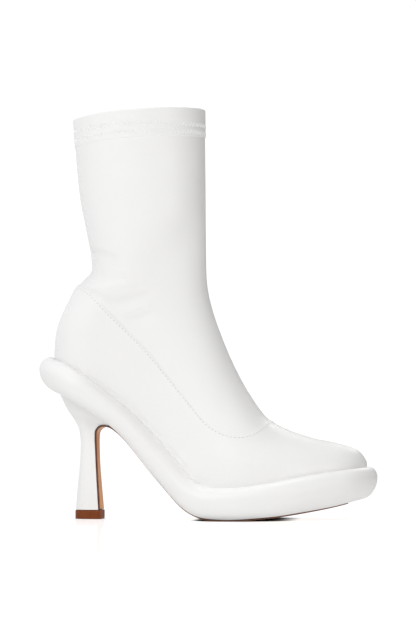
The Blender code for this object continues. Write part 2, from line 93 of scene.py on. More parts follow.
ROUND_STEPS = 120          # wall quads from the back to the front, on each side
VAMP_ROWS = 90
LEG_ROWS = 120
HEM_ROWS = 44
LAP_ROWS = 14              # rows of the leg that lie under the vamp
SEAM_ROW = VAMP_ROWS
HEM_ROW = VAMP_ROWS + LEG_ROWS
RIM_ROW = HEM_ROW + HEM_ROWS
INSIDE_STRIDE = 3          # the inside of a wall has every third row of its outside
EDGE_STEPS = 46            # platform quads around its padded edge
EDGE_CROWDING = 1.4        # above 1 crowds them towards the groove under the upper
SOLE_STEPS = 150
HEEL_ROWS = 90
HEEL_STEPS = 34
FLAP_STEPS = 70
FINE = 400                 # samples along a line that is shared out by length
BISECTIONS = 40            # halvings that find a place between two sections of the last
SOFTENING = 12             # passes that round off the last's sections
PAD_SOFTENING = 2          # passes that round off the platform's edge
SOLE_SOFTENING = 6         # passes that even out the outsole's edges
VAMP_EDGE_STEPS = 5        # loops that turn over the vamp's edge
RIM_STEPS = 9              # loops that turn over the rim
TIP_STEPS = 5              # loops that round each edge of the heel tip
SIZE_DIGITS = 6            # decimals of a size that count

# Faces that meet at more than these angles show an edge between them.
WALL_SHARP = math.radians(75)
PAD_SHARP = math.radians(60)
HEEL_SHARP = math.radians(50)

# Sections of the last, fanned from the feather line and the back up to the crown.
LAST_COLUMNS = ("base_x", "base_z", "crown_x", "crown_z", "outer", "inner", "shoulder")
LAST = {
    "toe end":  (112.8, 37.0, 112.8, 40.5, 12.5, 12.5, 0.10),
    "toe cap":  (106.5, 36.5, 108.0, 47.5, 16.5, 16.0, 0.10),
    "toe":      (96.0, 35.1, 97.0, 52.1, 21.5, 20.5, 0.09),
    "vamp":     (72.0, 31.5, 72.0, 57.9, 31.5, 30.5, 0.08),
    "throat":   (44.0, 26.4, 45.4, 69.6, 38.5, 38.5, 0.08),
    "ball":     (20.0, 23.6, 31.8, 86.6, 40.0, 37.5, 0.10),
    "joint":    (0.0, 26.4, 21.7, 104.5, 37.0, 32.0, 0.20),
    "waist":    (-22.0, 48.9, 10.8, 129.5, 31.5, 27.0, 0.35),
    "shank":    (-46.0, 73.8, 3.7, 150.5, 28.5, 26.0, 0.45),
    "seat":     (-74.0, 95.7, 0.6, 167.0, 27.5, 26.5, 0.50),
    "heel":     (-98.0, 110.0, 0.1, 183.0, 27.5, 27.0, 0.50),
    "heel end": (-108.7, 114.6, -0.1, 198.0, 28.0, 27.5, 0.50),
    "counter":  (-102.5, 146.0, -0.2, 210.0, 29.5, 29.0, 0.50),
    "ankle":    (-82.3, 177.0, -0.3, 222.0, 31.0, 31.0, 0.50),
    "calf":     (-88.9, 215.0, -0.5, 246.0, 33.0, 33.0, 0.50),
    "collar":   (-95.6, 281.0, -1.0, 288.0, 35.5, 35.5, 0.50),
}
FEATHER_END = list(LAST).index("heel end")
THROAT = list(LAST).index("throat")

# Back of the boot from the heel up, and the length over which the sides close on it.
BACK_COLUMNS = ("z", "x", "round")
BACK = (
    (114.6, -108.7, 27.0),
    (123.0, -108.3, 28.0),
    (135.0, -106.6, 30.0),
    (147.6, -101.6, 32.0),
    (157.0, -96.9, 34.0),
    (163.0, -93.6, 35.0),
    (169.0, -87.9, 37.0),
    (174.0, -82.9, 39.0),
    (177.5, -82.3, 40.0),
    (186.0, -83.3, 41.0),
    (203.0, -86.3, 42.0),
    (224.0, -90.5, 44.0),
    (250.0, -93.4, 45.5),
    (281.0, -95.6, 46.5),
)

# Side view (x, z) of the seam between vamp and leg, and of the rim, from the back to the front.
SEAM = (
    (-91.4, 165.5),
    (-80.5, 159.4),
    (-64.5, 143.2),
    (-42.5, 121.6),
    (-24.5, 100.5),
    (-9.0, 81.2),
    (4.5, 65.8),
    (15.0, 59.9),
    (26.0, 58.5),
    (36.9, 61.7),
    (45.4, 69.6),
)
RIM = (
    (-95.6, 281.0),
    (-66.0, 284.6),
    (-34.0, 286.6),
    (-1.0, 288.0),
)

# The platform under each section of the last: its underside, how far its edge swells, how its upper
# half is rounded (above 1 makes it slope), and the width of the groove between it and the upper.
PLATFORM_COLUMNS = ("low_x", "low_z", "bulge", "shoulder", "groove")
PLATFORM = {
    "toe end":  (111.6, 14.3, 9.3, 0.85, 0.9),
    "toe cap":  (104.6, 12.7, 9.6, 0.85, 0.9),
    "toe":      (94.0, 10.2, 10.1, 0.85, 1.0),
    "vamp":     (70.5, 6.0, 10.5, 0.9, 1.1),
    "throat":   (44.0, 2.4, 10.5, 0.95, 1.3),
    "ball":     (14.0, 0.95, 10.5, 1.1, 1.6),
    "joint":    (-6.8, 4.2, 10.5, 1.4, 2.4),
    "waist":    (-33.2, 29.4, 10.5, 1.7, 3.2),
    "shank":    (-60.0, 60.9, 11.0, 1.5, 3.0),
    "seat":     (-84.0, 77.6, 12.0, 1.0, 2.0),
    "heel":     (-98.0, 85.6, 12.5, 0.85, 1.1),
    "heel end": (-105.5, 89.0, 13.6, 0.85, 0.9),
}

# Heel sections from the seat down to the tip. The first lies under the platform.
HEEL_COLUMNS = ("back_x", "back_z", "breast_x", "breast_z", "half_width")
HEEL = (
    (-104.6, 88.0, -64.2, 65.4, 19.5),
    (-99.0, 76.8, -71.6, 66.4, 15.0),
    (-94.6, 70.3, -75.8, 65.2, 11.2),
    (-91.6, 64.8, -78.3, 62.2, 8.9),
    (-90.2, 58.4, -78.8, 57.8, 7.8),
    (-89.9, 49.0, -78.6, 48.6, 6.8),
    (-90.4, 38.5, -78.2, 38.3, 6.5),
    (-91.7, 25.0, -77.3, 25.0, 7.6),
    (-93.2, 6.5, -75.9, 6.5, 9.6),
)

# Creases of the soft leg: the side they lie on, height, half-width, and their line in side view.
FOLD_COLUMNS = ("side", "height", "width", "line")
FOLDS = {
    "tuck at the ankle": (
        "outer", -0.8, 2.6, ((-88, 189), (-79.3, 187.8), (-69.4, 185.5), (-58, 183))),
    "dimple under the ankle": (
        "outer", -0.5, 3.0, ((-76, 172.5), (-68.4, 171.1), (-58.7, 169.5), (-51, 169))),
    "roll over the counter": (
        "outer", 0.5, 3.6,
        ((-90, 171), (-84.2, 168.4), (-67.9, 162.8), (-50.3, 163.2), (-36.1, 165.3), (-28, 169))),
    "trough over the counter": (
        "outer", -1.0, 3.0,
        ((-91, 166), (-85.6, 162.7), (-73.3, 156.8), (-63.4, 152.9), (-50.4, 155.5), (-32, 162))),
    "roll over the quarter": (
        "outer", 0.6, 2.8, ((-57, 144.5), (-50.4, 145.8), (-43.4, 148.2), (-33, 151.5))),
    "trough over the quarter": (
        "outer", -0.8, 2.5, ((-57, 141.6), (-52.5, 141.6), (-44.8, 142.3), (-33, 146.5))),
    "inner tuck": (
        "inner", -0.8, 2.8, ((-88, 187), (-78, 185.0), (-66, 184.0), (-55, 185))),
    "inner roll": (
        "inner", 0.7, 3.6, ((-90, 171), (-83, 167.5), (-66, 163.5), (-48, 162.0), (-34, 163))),
    "inner trough": (
        "inner", -0.9, 3.0, ((-91, 165), (-84, 161.5), (-71, 156.0), (-57, 154.0), (-38, 157))),
    "inner lower trough": (
        "inner", -0.7, 2.6, ((-60, 144.5), (-50, 143.0), (-41, 143.5), (-31, 146))),
}
FOLD_SAMPLES = 48
FOLD_FADE = 0.22           # share of a crease's length over which each end fades out
FOLD_LAP = 8.0 * MM        # the creases fade out this far below the seam, where the counter is stiff
SIDE_BLEND = 6.0 * MM      # a crease reaches this far past the middle of the boot


def picked(table, columns, *names):
    """Rows of a table, with only the named columns."""
    rows = table.values() if isinstance(table, dict) else table
    return np.array([[row[columns.index(name)] for name in names] for row in rows])


def through(knots, rows, at):
    """Smooth curve through rows of values, read at places along the knots."""
    at = np.clip(np.asarray(at, float), knots[0], knots[-1])
    widths = np.diff(knots)[:, None]
    chords = np.diff(rows, axis=0) / widths
    inner = (widths[1:] * chords[:-1] + widths[:-1] * chords[1:]) / (widths[1:] + widths[:-1])
    slopes = np.vstack([chords[:1], inner, chords[-1:]])
    i = np.clip(np.searchsorted(knots, at, side="right") - 1, 0, len(knots) - 2)
    h = widths[i]
    f = (at - knots[i])[..., None] / h
    start = rows[i] * (1 + 2 * f) * (1 - f) ** 2 + h * slopes[i] * f * (1 - f) ** 2
    return start + rows[i + 1] * f ** 2 * (3 - 2 * f) + h * slopes[i + 1] * f ** 2 * (f - 1)


def along(points):
    """Length from the first point of a line to each of its points."""
    steps = np.linalg.norm(np.diff(points, axis=0), axis=1)
    return np.concatenate([[0.0], np.cumsum(steps)])


def read_at(line, lengths, at):
    """Points of a line, or other values along it, at given lengths from its start."""
    return np.stack([np.interp(at, lengths, column) for column in line.T], axis=1)


def shared_out(points, fractions):
    """Points of a line at the given fractions of its length."""
    lengths = along(points)
    return read_at(np.asarray(points, float), lengths, np.asarray(fractions) * lengths[-1])


def eased(count):
    """Fractions from 0 to 1 that crowd towards both ends."""
    return (1 - np.cos(np.linspace(0, math.pi, count + 1))) / 2


def smooth_step(value):
    """Eases from 0 to 1."""
    value = np.clip(value, 0, 1)
    return value * value * (3 - 2 * value)


def quarter_round(depth, length):
    """Rises from 0 to 1 over a length, as a quarter of an ellipse does."""
    return np.sqrt(1 - (1 - np.clip(depth / length, 0, 1)) ** 2)


def unit(vectors):
    """Vectors of length one."""
    return vectors / np.linalg.norm(vectors, axis=-1, keepdims=True)


def both_sides(side):
    """Values along a loop's outer side, from back to front, and home again along its inner side."""
    return np.concatenate([side, side[-2:0:-1]])


FEATHER = MM * picked(LAST, LAST_COLUMNS, "base_x", "base_z")
CROWN = MM * picked(LAST, LAST_COLUMNS, "crown_x", "crown_z")
GIRTH = picked(LAST, LAST_COLUMNS, "outer", "inner", "shoulder") * (MM, MM, 1)
LAST_KNOTS = (along(FEATHER) + along(CROWN)) / 2
TOE_X = FEATHER[0, 0]
UNDERSIDE = MM * picked(PLATFORM, PLATFORM_COLUMNS, "low_x", "low_z")
BULGE = picked(PLATFORM, PLATFORM_COLUMNS, "bulge", "shoulder", "groove") * (MM, 1, MM)
PLATFORM_KNOTS = LAST_KNOTS[:len(PLATFORM)]
BACK_HEIGHTS = MM * picked(BACK, BACK_COLUMNS, "z")[:, 0]
BACK_SHAPE = MM * picked(BACK, BACK_COLUMNS, "x", "round")
HEEL_BACK = MM * picked(HEEL, HEEL_COLUMNS, "back_x", "back_z")
HEEL_BREAST = MM * picked(HEEL, HEEL_COLUMNS, "breast_x", "breast_z")
HEEL_WIDTH = MM * picked(HEEL, HEEL_COLUMNS, "half_width")
SEAM_LINE = MM * np.array(SEAM)
RIM_LINE = MM * np.array(RIM)

TIP_LOW, TIP_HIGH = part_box("heel_tip")
SHIFT = np.array([TIP_LOW.x - HEEL_BACK[-1, 0] + TIP_MARGIN, (TIP_LOW.y + TIP_HIGH.y) / 2, 0])


def fan_place(x, z):
    """Which section of the fan passes through a side-view point, and how far up it lies."""
    low = np.zeros_like(x)
    high = np.full_like(x, LAST_KNOTS[-1])
    for _ in range(BISECTIONS):
        section = (low + high) / 2
        base_x, base_z = through(LAST_KNOTS, FEATHER, section).T
        run_x, run_z = through(LAST_KNOTS, CROWN - FEATHER, section).T
        behind = run_x * (z - base_z) - run_z * (x - base_x) > 0
        low, high = np.where(behind, section, low), np.where(behind, high, section)
    height = ((x - base_x) * run_x + (z - base_z) * run_z) / (run_x ** 2 + run_z ** 2)
    return section, np.clip(height, 0, 1)


def half_widths(x, z):
    """Half-widths of the boot to its outer and inner side at side-view points."""
    section, height = fan_place(x, z)
    outer, inner, shoulder = through(LAST_KNOTS, GIRTH, section).T
    arch = np.sqrt(1 - np.clip((height - shoulder) / (1 - shoulder), 0, 1) ** 2)
    back_x, back_round = through(BACK_HEIGHTS, BACK_SHAPE, z).T
    closing = quarter_round(x - back_x, back_round) * quarter_round(TOE_X - x, TOE_ROUND)
    return outer * arch * closing, inner * arch * closing


def centre_line(x):
    """Sideways lean of the toe towards the inner side."""
    return TOE_SWING * np.clip((x - SWING_START) / (TOE_X - SWING_START), 0, 1) ** 2


def loop_of(side_points, outer, inner):
    """Closed loop: along the outer side from back to front, and home along the inner side."""
    x, z = side_points.T
    middle = centre_line(x)
    outer_line = np.stack([x, middle - outer, z], axis=1)
    inner_line = np.stack([x, middle + inner, z], axis=1)
    return np.vstack([outer_line, inner_line[-2:0:-1]])


def feather_sections(fractions):
    """Sections of the fan at fractions of the feather line, from heel to toe."""
    fan = np.linspace(LAST_KNOTS[FEATHER_END], 0, FINE)
    length = along(through(LAST_KNOTS, FEATHER, fan))
    return np.interp(np.asarray(fractions) * length[-1], length, fan)


def feather_line(fractions):
    """Side view of the feather line, where the upper meets the platform."""
    return through(LAST_KNOTS, FEATHER, feather_sections(fractions))


def front_line(first, last, fractions):
    """Side view of the boot's front between two sections, by fractions of its length."""
    fan = np.linspace(LAST_KNOTS[first], LAST_KNOTS[last], FINE)
    points = through(LAST_KNOTS, CROWN, fan)
    if first == 0:
        points = np.vstack([FEATHER[:1], points])
    return shared_out(points, fractions)


def back_line(low_z, high_z, fractions):
    """Side view of the boot's back between two heights."""
    heights = np.linspace(low_z, high_z, FINE)
    back_x = through(BACK_HEIGHTS, BACK_SHAPE, heights)[:, 0]
    return shared_out(np.stack([back_x, heights], axis=1), fractions)


def leg_front(low_z, high_z, fractions):
    """Side view of the leg's front between two heights."""
    front = front_line(THROAT, len(LAST) - 1, np.linspace(0, 1, FINE))
    heights = np.linspace(low_z, high_z, FINE)
    front_x = np.interp(heights, front[:, 1], front[:, 0])
    return shared_out(np.stack([front_x, heights], axis=1), fractions)


def table_line(rows, fractions):
    """Side view of a smooth line through a table of points."""
    rows = np.asarray(rows, float)
    knots = along(rows)
    return shared_out(through(knots, rows, np.linspace(0, knots[-1], FINE)), fractions)


def rim_line(drop, fractions):
    """Side view of a line around the leg that runs level with the rim, a given drop below it."""
    line = table_line(RIM_LINE, fractions)
    line[:, 1] -= drop
    back_x = back_line(line[0, 1], BACK_HEIGHTS[-1], [0])[0, 0]
    front_x = leg_front(line[-1, 1], RIM_LINE[-1, 1], [0])[0, 0]
    line[:, 0] += (1 - fractions) * (back_x - RIM_LINE[0, 0]) + fractions * (front_x - RIM_LINE[-1, 0])
    return line


def patch(low, high, back, front, rise):
    """Side-view grid that fills the space between four lines."""
    share = eased(len(low) - 1)[None, :, None]
    rise = rise[:, None, None]
    between = (1 - rise) * low[None] + rise * high[None]
    ends = (1 - share) * (back[:, None] - ((1 - rise) * low[0] + rise * high[0]))
    return between + ends + share * (front[:, None] - ((1 - rise) * low[-1] + rise * high[-1]))


def leg_grid(low, high, rise):
    """Side-view grid of the leg between two lines around it."""
    back = back_line(low[0, 1], high[0, 1], rise)
    return patch(low, high, back, leg_front(low[-1, 1], high[-1, 1], rise), rise)


def wall_loop(line):
    """Loop of the boot's outer face along a side-view line, closed at its back and its front."""
    outer, inner = half_widths(*line.T)
    outer[[0, -1]] = inner[[0, -1]] = 0
    return loop_of(line, outer, inner)


def outward(loops):
    """Unit normals of a stack of closed loops, pointing out of the boot."""
    around = np.roll(loops, -1, axis=1) - np.roll(loops, 1, axis=1)
    return unit(np.cross(around, np.gradient(loops, axis=0)))


def softened(loops, passes):
    """Stack of closed loops with its small unevenness rounded off."""
    for _ in range(passes):
        around = (np.roll(loops, 1, axis=1) + np.roll(loops, -1, axis=1)) / 2
        level = loops.copy()
        level[1:-1] = (loops[:-2] + loops[2:]) / 2
        loops = (2 * loops + around + level) / 4
    return loops


def fold_heights(loops):
    """How far the creases raise or sink each point of the boot's skin."""
    heights = np.zeros(loops.shape[:2])
    side_view = loops[..., [0, 2]]
    across = loops[..., 1] - centre_line(loops[..., 0])
    for row in FOLDS.values():
        fold = dict(zip(FOLD_COLUMNS, row))
        samples = MM * table_line(fold["line"], np.linspace(0, 1, FOLD_SAMPLES))
        distance = np.linalg.norm(side_view[:, :, None] - samples, axis=3)
        place = distance.argmin(axis=2) / (FOLD_SAMPLES - 1)
        fade = smooth_step(place / FOLD_FADE) * smooth_step((1 - place) / FOLD_FADE)
        sideways = across if fold["side"] == "inner" else -across
        facing = smooth_step(0.5 + sideways / (2 * SIDE_BLEND))
        swell = np.exp(-(distance.min(axis=2) / (fold["width"] * MM)) ** 2)
        heights += MM * fold["height"] * swell * fade * facing
    below_seam = np.linalg.norm(loops - loops[SEAM_ROW], axis=2)
    below_seam[SEAM_ROW:] = 0
    return heights * smooth_step(1 - below_seam / FOLD_LAP)


@lru_cache
def boot_skin(crease_depth, seam_groove):
    """Loops of the boot's skin from the feather line up to the rim, their normals and their folds."""
    share = eased(ROUND_STEPS)
    seam, hem, rim = table_line(SEAM_LINE, share), rim_line(HEM_DEPTH, share), rim_line(0, share)
    vamp_rise, leg_rise, hem_rise = eased(VAMP_ROWS), eased(LEG_ROWS), np.linspace(0, 1, HEM_ROWS + 1)
    vamp_back = back_line(BACK_HEIGHTS[0], seam[0, 1], vamp_rise)
    vamp = patch(feather_line(share), seam, vamp_back, front_line(0, THROAT, vamp_rise), vamp_rise)
    leg, hem = leg_grid(seam, hem, leg_rise), leg_grid(hem, rim, hem_rise)
    grid = np.concatenate([vamp, leg[1:], hem[1:]])
    loops = softened(np.array([wall_loop(line) for line in grid]), SOFTENING)
    folds = crease_depth * fold_heights(loops)
    loops = loops + folds[..., None] * outward(loops)
    normals = outward(loops)
    loops[:, 0] -= seam_groove * normals[:, 0]
    return loops, normals, folds


def skin(context):
    """The boot's skin at the sizes that are set."""
    sizes = context.scene.boot_sizes
    return boot_skin(round(sizes.crease_depth, SIZE_DIGITS), round(sizes.back_seam_groove, SIZE_DIGITS))


def undercut_share(loops):
    """Share of the vamp's undercut at each point: it follows the groove, and is deepest under the arch."""
    groove = both_sides(through(PLATFORM_KNOTS, BULGE, feather_sections(eased(ROUND_STEPS)))[:, -1])
    above_feather = np.linalg.norm(loops - loops[0], axis=2)
    return groove / BULGE[:, -1].max() * np.exp(-(above_feather / groove) ** 2)


def row_droop(sizes):
    """How much further below the rim the zigzag rows lie at each point around the leg."""
    return both_sides(sizes.zigzag_droop * eased(ROUND_STEPS) ** 2)


def zigzag_drops(sizes):
    """How far below the rim the middle of each zigzag row lies."""
    first = sizes.zigzag_start + sizes.zigzag_height / 2
    return first, first + sizes.zigzag_height + sizes.zigzag_space


def leg_face(sizes):
    """How far each point of the leg's outer face stands out from the boot's skin."""
    rows_down = RIM_ROW - np.arange(RIM_ROW + 1)[:, None]
    drops = HEM_DEPTH * np.clip(rows_down / HEM_ROWS, 0, None)
    raised = smooth_step((HEM_DEPTH - drops) / sizes.hem_edge)
    below = drops - row_droop(sizes)
    half = sizes.zigzag_height / 2
    quilt = sum(np.exp(-((below - middle) / half) ** 4) for middle in zigzag_drops(sizes))
    return -sizes.lap + (sizes.hem_step - sizes.hem_dip * quilt) * raised


def rounded_edge(face, normals, onward, thickness, steps):
    """Loops that turn over an edge, from a wall's face to its back."""
    middle = face - normals * thickness / 2
    angles = np.linspace(0, math.pi, steps + 2)[1:-1, None, None]
    return middle + thickness / 2 * (np.cos(angles) * normals + np.sin(angles) * onward)


def ring_faces(rings, count, closed=False):
    """Quads that join each ring of points to the next one."""
    low = np.arange(rings if closed else rings - 1)[:, None] * count
    high = (low + count) % (rings * count)
    i = np.arange(count)[None]
    j = (i + 1) % count
    return np.stack([low + i, low + j, high + j, high + i], axis=-1).reshape(-1, 4).tolist()


def strip_faces(start, count, flip):
    """Faces across a closed loop, between points of its outer and its inner side."""
    faces = []
    for i in range(count // 2):
        corners = (i, i + 1, count - i - 1, (count - i) % count)
        face = tuple(start + corner for corner in dict.fromkeys(corners))
        faces.append(face[::-1] if flip else face)
    return faces


def add_piece(name, points, faces, material, sharp_angle=None, marks=None):
    """Make one visible piece of the boot, which rides with it."""
    old = bpy.data.objects.get(name)
    if old:
        bpy.data.objects.remove(old, do_unlink=True)
    mesh = bpy.data.meshes.new(name)
    mesh.from_pydata((np.asarray(points).reshape(-1, 3) + SHIFT).tolist(), [], faces)
    for mark, values in (marks or {}).items():
        layer = mesh.attributes.new(mark, "FLOAT", "POINT")
        layer.data.foreach_set("value", np.asarray(values, np.float32).ravel())
    mesh.shade_smooth()
    if sharp_angle is not None:
        mesh.set_sharp_from_angle(angle=sharp_angle)
    mesh.materials.append(material)
    piece = bpy.data.objects.new(name, mesh)
    bpy.context.scene.collection.objects.link(piece)
    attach(piece, "root")
    return piece


def add_wall(name, rings, material, sharp_angle, marks=None):
    """Make a piece that is a wall, from loops that run up its face and down its back."""
    faces = ring_faces(len(rings), rings.shape[1], closed=True)
    return add_piece(name, rings, faces, material, sharp_angle, marks)


def add_stack(name, loops, material, sharp_angle):
    """Make a solid piece from closed loops, from the lowest one up."""
    rings, count = loops.shape[:2]
    faces = ring_faces(rings, count) + strip_faces(0, count, flip=True)
    faces += strip_faces((rings - 1) * count, count, flip=False)
    return add_piece(name, loops, faces, material, sharp_angle)


def platform_top(x):
    """Height of the platform's top at a place along the boot."""
    line = feather_line(np.linspace(0, 1, FINE))
    return np.interp(x, line[:, 0], line[:, 1])


def platform_low(x):
    """Height of the platform's underside at a place along the boot."""
    order = np.linspace(PLATFORM_KNOTS[-1], PLATFORM_KNOTS[0], FINE)
    low_x, low_z = through(PLATFORM_KNOTS, UNDERSIDE, order).T
    return np.interp(x, low_x, low_z)


def slope_of(height, x):
    """Slope along the boot of a height that depends on the place."""
    return (height(x + SLOPE_STEP) - height(x - SLOPE_STEP)) / (2 * SLOPE_STEP)


def sole_seat(x):
    """Height of the recess in the platform's underside, which the outsole is let into."""
    recess = SOLE_RECESS * np.hypot(1, slope_of(platform_low, x))
    return platform_low(x) + recess * smooth_step((x - RECESS_END) / RECESS_FADE + 1)


def plan_outward(ring):
    """Unit vectors, level with the floor, that point out of a closed ring."""
    around = np.roll(ring, -1, axis=0) - np.roll(ring, 1, axis=0)
    return unit(np.stack([around[:, 1], -around[:, 0], np.zeros(len(around))], axis=1))


def inset_ring(ring, margin):
    """Plan outline drawn in by a margin, or by a margin of its own at each point."""
    drawn = ring.copy()
    drawn[:, :2] -= np.reshape(margin, (-1, 1)) * plan_outward(ring)[:, :2]
    return drawn


def platform_loops(groove_depth=0.0):
    """Loops around the platform's padded edge, from its top to its underside."""
    share = eased(SOLE_STEPS)
    sections = feather_sections(share)
    wall = wall_loop(feather_line(share))
    low = loop_of(through(PLATFORM_KNOTS, UNDERSIDE, sections), 0, 0)
    low[:, 1] = wall[:, 1]
    swell, shoulder, groove = both_sides(through(PLATFORM_KNOTS, BULGE, sections)).T
    out = plan_outward(wall)
    loops = []
    for angle in math.pi * np.linspace(0, 1, EDGE_STEPS + 1) ** EDGE_CROWDING:
        down = (1 - math.cos(angle)) / 2
        upper_half = angle < math.pi / 2
        swelling = swell * max(math.sin(angle), 0) ** (shoulder if upper_half else UNDER_ROUND)
        swelling -= UNDER_INSET * down
        loop = wall + (low - wall) * down + swelling[:, None] * out
        if upper_half:
            loop[:, 2] -= groove_depth * np.exp(-(swelling / groove) ** 2)
        loops.append(loop)
    loops = softened(np.array(loops), PAD_SOFTENING)
    loops[-1, :, 2] = sole_seat(loops[-1, :, 0])
    return loops


def heel_lines(steps):
    """Side view of the heel's back and breast, and its half-width, from seat to tip."""
    knots = along(HEEL_BACK) + along(HEEL_BREAST)
    places = np.linspace(0, knots[-1], steps + 1)
    half_width = through(knots, HEEL_WIDTH, places)[:, 0]
    return through(knots, HEEL_BACK, places), through(knots, HEEL_BREAST, places), half_width


def heel_outline(back, breast, half_width):
    """Closed loop of one heel section, flat at the breast and rounded at the back."""
    share = (2 * eased(HEEL_STEPS * 2)[:HEEL_STEPS + 1, None]) ** HEEL_CROWDING
    x, z = (back + (breast - back) * share).T
    width = half_width * quarter_round(share[:, 0], HEEL_BACK_ROUND)
    outer = np.stack([x, -width, z], axis=1)
    inner = np.stack([x, width, z], axis=1)
    return np.vstack([outer, inner[:0:-1]])


def towards_toe(x):
    """Rises from 0 to 1 along the outsole's front end, up to the toe."""
    return smooth_step((x - TOE_PLACE) / (TOE_X - TOE_PLACE))


def forefoot_lines():
    """Upper and lower edges of the outsole under the platform, from the toe back to the heel breast."""
    seat = platform_loops()[-1]
    ring = inset_ring(seat, OUTSOLE_MARGIN + TOE_MARGIN * towards_toe(seat[:, 0]))
    count = len(ring)
    upper_lines, lower_lines = [], []
    for i in range(SOLE_STEPS - 1, 0, -1):
        pair = ring[[i, count - i]]
        x = pair[:, 0]
        if pair[1, 1] - pair[0, 1] < TOE_WIDTH:
            continue
        if x.min() < OUTSOLE_BREAST:
            break
        down = unit(np.stack([slope_of(sole_seat, x), np.zeros(2), -np.ones(2)], axis=1))
        upper = np.column_stack([pair[:, :2], sole_seat(x)]) + SOLE_GAP * down
        pared = smooth_step((PARING_START - x) / (PARING_START - PARING_END))
        pared += towards_toe(x)
        lower = upper + (OUTSOLE_THICK + (WAIST_THICK - OUTSOLE_THICK) * pared)[:, None] * down
        on_floor = (x > TREAD_BACK) & (x < TREAD_FRONT)
        lower[:, 2] = np.where(on_floor, 0, np.maximum(lower[:, 2], 0))
        upper_lines.append(upper)
        lower_lines.append(lower)
    return upper_lines, lower_lines


def flap_lines():
    """Upper and lower edges of the outsole's flap, which lies on the heel breast down to the tip."""
    _, breast, half_width = heel_lines(FLAP_STEPS)
    turn = unit(np.gradient(breast, axis=0))
    forward = np.stack([-turn[:, 1], turn[:, 0]], axis=1)
    near = breast + SOLE_GAP * forward
    far = near + FLAP_THICK * forward
    return tuple([[(x, -half, z), (x, half, z)] for (x, z), half in list(zip(line, half_width))[1:]]
                 for line in (near, far))


SOLE_EDGE_MARK = (1, 1, 1, 1, 0, 0, 1, 1)   # which points of a sole section carry the dark edge dressing


def sole_sections(edge_round):
    """Sections of the outsole, each a slip of leather with its two lower corners rounded."""
    upper, lower = (np.array(front + flap) for front, flap in zip(forefoot_lines(), flap_lines()))
    for _ in range(SOLE_SOFTENING):
        for line in (upper, lower):
            line[1:-1] = (line[:-2] + 2 * line[1:-1] + line[2:]) / 4
    lower[..., 2] = np.maximum(lower[..., 2], 0)
    left, right = 0, 1
    across = upper[:, right] - upper[:, left]
    width = np.linalg.norm(across, axis=1, keepdims=True)
    radius = np.minimum(edge_round, width / 4)
    inward = radius * across / width
    rise = radius * unit((upper - lower).mean(axis=1))
    corner = 1 - math.sqrt(0.5)
    return np.stack([
        upper[:, left],
        upper[:, right],
        lower[:, right] + rise,
        lower[:, right] + corner * (rise - inward),
        lower[:, right] - inward,
        lower[:, left] + inward,
        lower[:, left] + corner * (rise + inward),
        lower[:, left] + rise,
    ], axis=1)


def level_line(context, drop, lift):
    """Line around the hem, a given drop below the rim at the back, lifted off the skin, with its normals."""
    loops, normals, _ = skin(context)
    row = RIM_ROW - HEM_ROWS * (drop + row_droop(context.scene.boot_sizes)) / HEM_DEPTH
    low = row.astype(int)
    share = (row - low)[:, None]
    column = np.arange(len(row))
    points = (1 - share) * loops[low, column] + share * loops[low + 1, column]
    facing = (1 - share) * normals[low, column] + share * normals[low + 1, column]
    ring = np.append(column, 0)
    return (points + lift * facing)[ring], facing[ring]


def read_across(lines, facing, distance):
    """The point and the normal at a distance along each of several lines."""
    points, normals = [], []
    for line, normal in zip(lines, facing):
        lengths = along(line)
        points.append(read_at(line, lengths, [distance])[0])
        normals.append(read_at(normal, lengths, [distance])[0])
    return np.array(points), np.array(normals)


def upright_line(context, from_back, low_row, high_row, lift):
    """Line up the boot at a distance around from its centre back; a negative one is on the outer side."""
    loops, normals, _ = skin(context)
    order = np.arange(ROUND_STEPS) if from_back < 0 else -np.arange(ROUND_STEPS)
    rows = slice(low_row, high_row)
    points, facing = read_across(loops[rows][:, order], normals[rows][:, order], abs(from_back))
    return points + lift * facing, facing


def seam_line(context, drop):
    """Line around the vamp, a given drop below its seam with the leg."""
    loops, normals, _ = skin(context)
    ring = np.append(np.arange(loops.shape[1]), 0)
    lines, facing = (rows[SEAM_ROW::-1].swapaxes(0, 1)[ring] for rows in (loops, normals))
    return read_across(lines, facing, drop)


def zigzag(first, second, pitch):
    """Starts, ends and normals of stitches that run to and fro between two lines."""
    count = 2 * round(along(first[0])[-1] / pitch)
    fractions = np.linspace(0, 1, count + 1)
    odd = (np.arange(count + 1) % 2 == 1)[:, None]
    sides = []
    for points, facing in (first, second):
        lengths = along(points)
        at = fractions * lengths[-1]
        sides.append((read_at(points, lengths, at), read_at(facing, lengths, at)))
    points, facing = (np.where(odd, there, here) for here, there in zip(*sides))
    return points[:-1], points[1:], (facing[:-1] + facing[1:]) / 2


def topstitch(line, pitch, space):
    """Starts, ends and normals of stitches that run along a line."""
    points, facing = line
    lengths = along(points)
    count = round(lengths[-1] / pitch)
    marks = np.linspace(0, lengths[-1], count + 1)
    starts = read_at(points, lengths, marks[:-1] + space / 2)
    ends = read_at(points, lengths, marks[1:] - space / 2)
    return starts, ends, read_at(facing, lengths, (marks[:-1] + marks[1:]) / 2)


def joined(*stitch_rows):
    """Several rows of stitches as one."""
    return tuple(np.concatenate(parts) for parts in zip(*stitch_rows))


STITCH_RINGS = 7
STITCH_SIDES = 8
STITCH_SINK = 0.75         # how far a stitch's ends dive, as a share of the thread's thickness
STITCH_TAPER = 0.5         # share of the thread's thickness that is left at a stitch's ends
HOLE_SIDES = 10
HOLE_RIM_LIFT = 1 / 8      # height of a needle hole's rim over the leather, as a share of its radius
HOLE_MIDDLE_LIFT = 1 / 4   # and that of its middle


def circles(sides, first, second):
    """Directions around circles, each in the plane of two unit vectors."""
    angles = np.linspace(0, 2 * math.pi, sides, endpoint=False)[:, None]
    return np.cos(angles) * first[:, None] + np.sin(angles) * second[:, None]


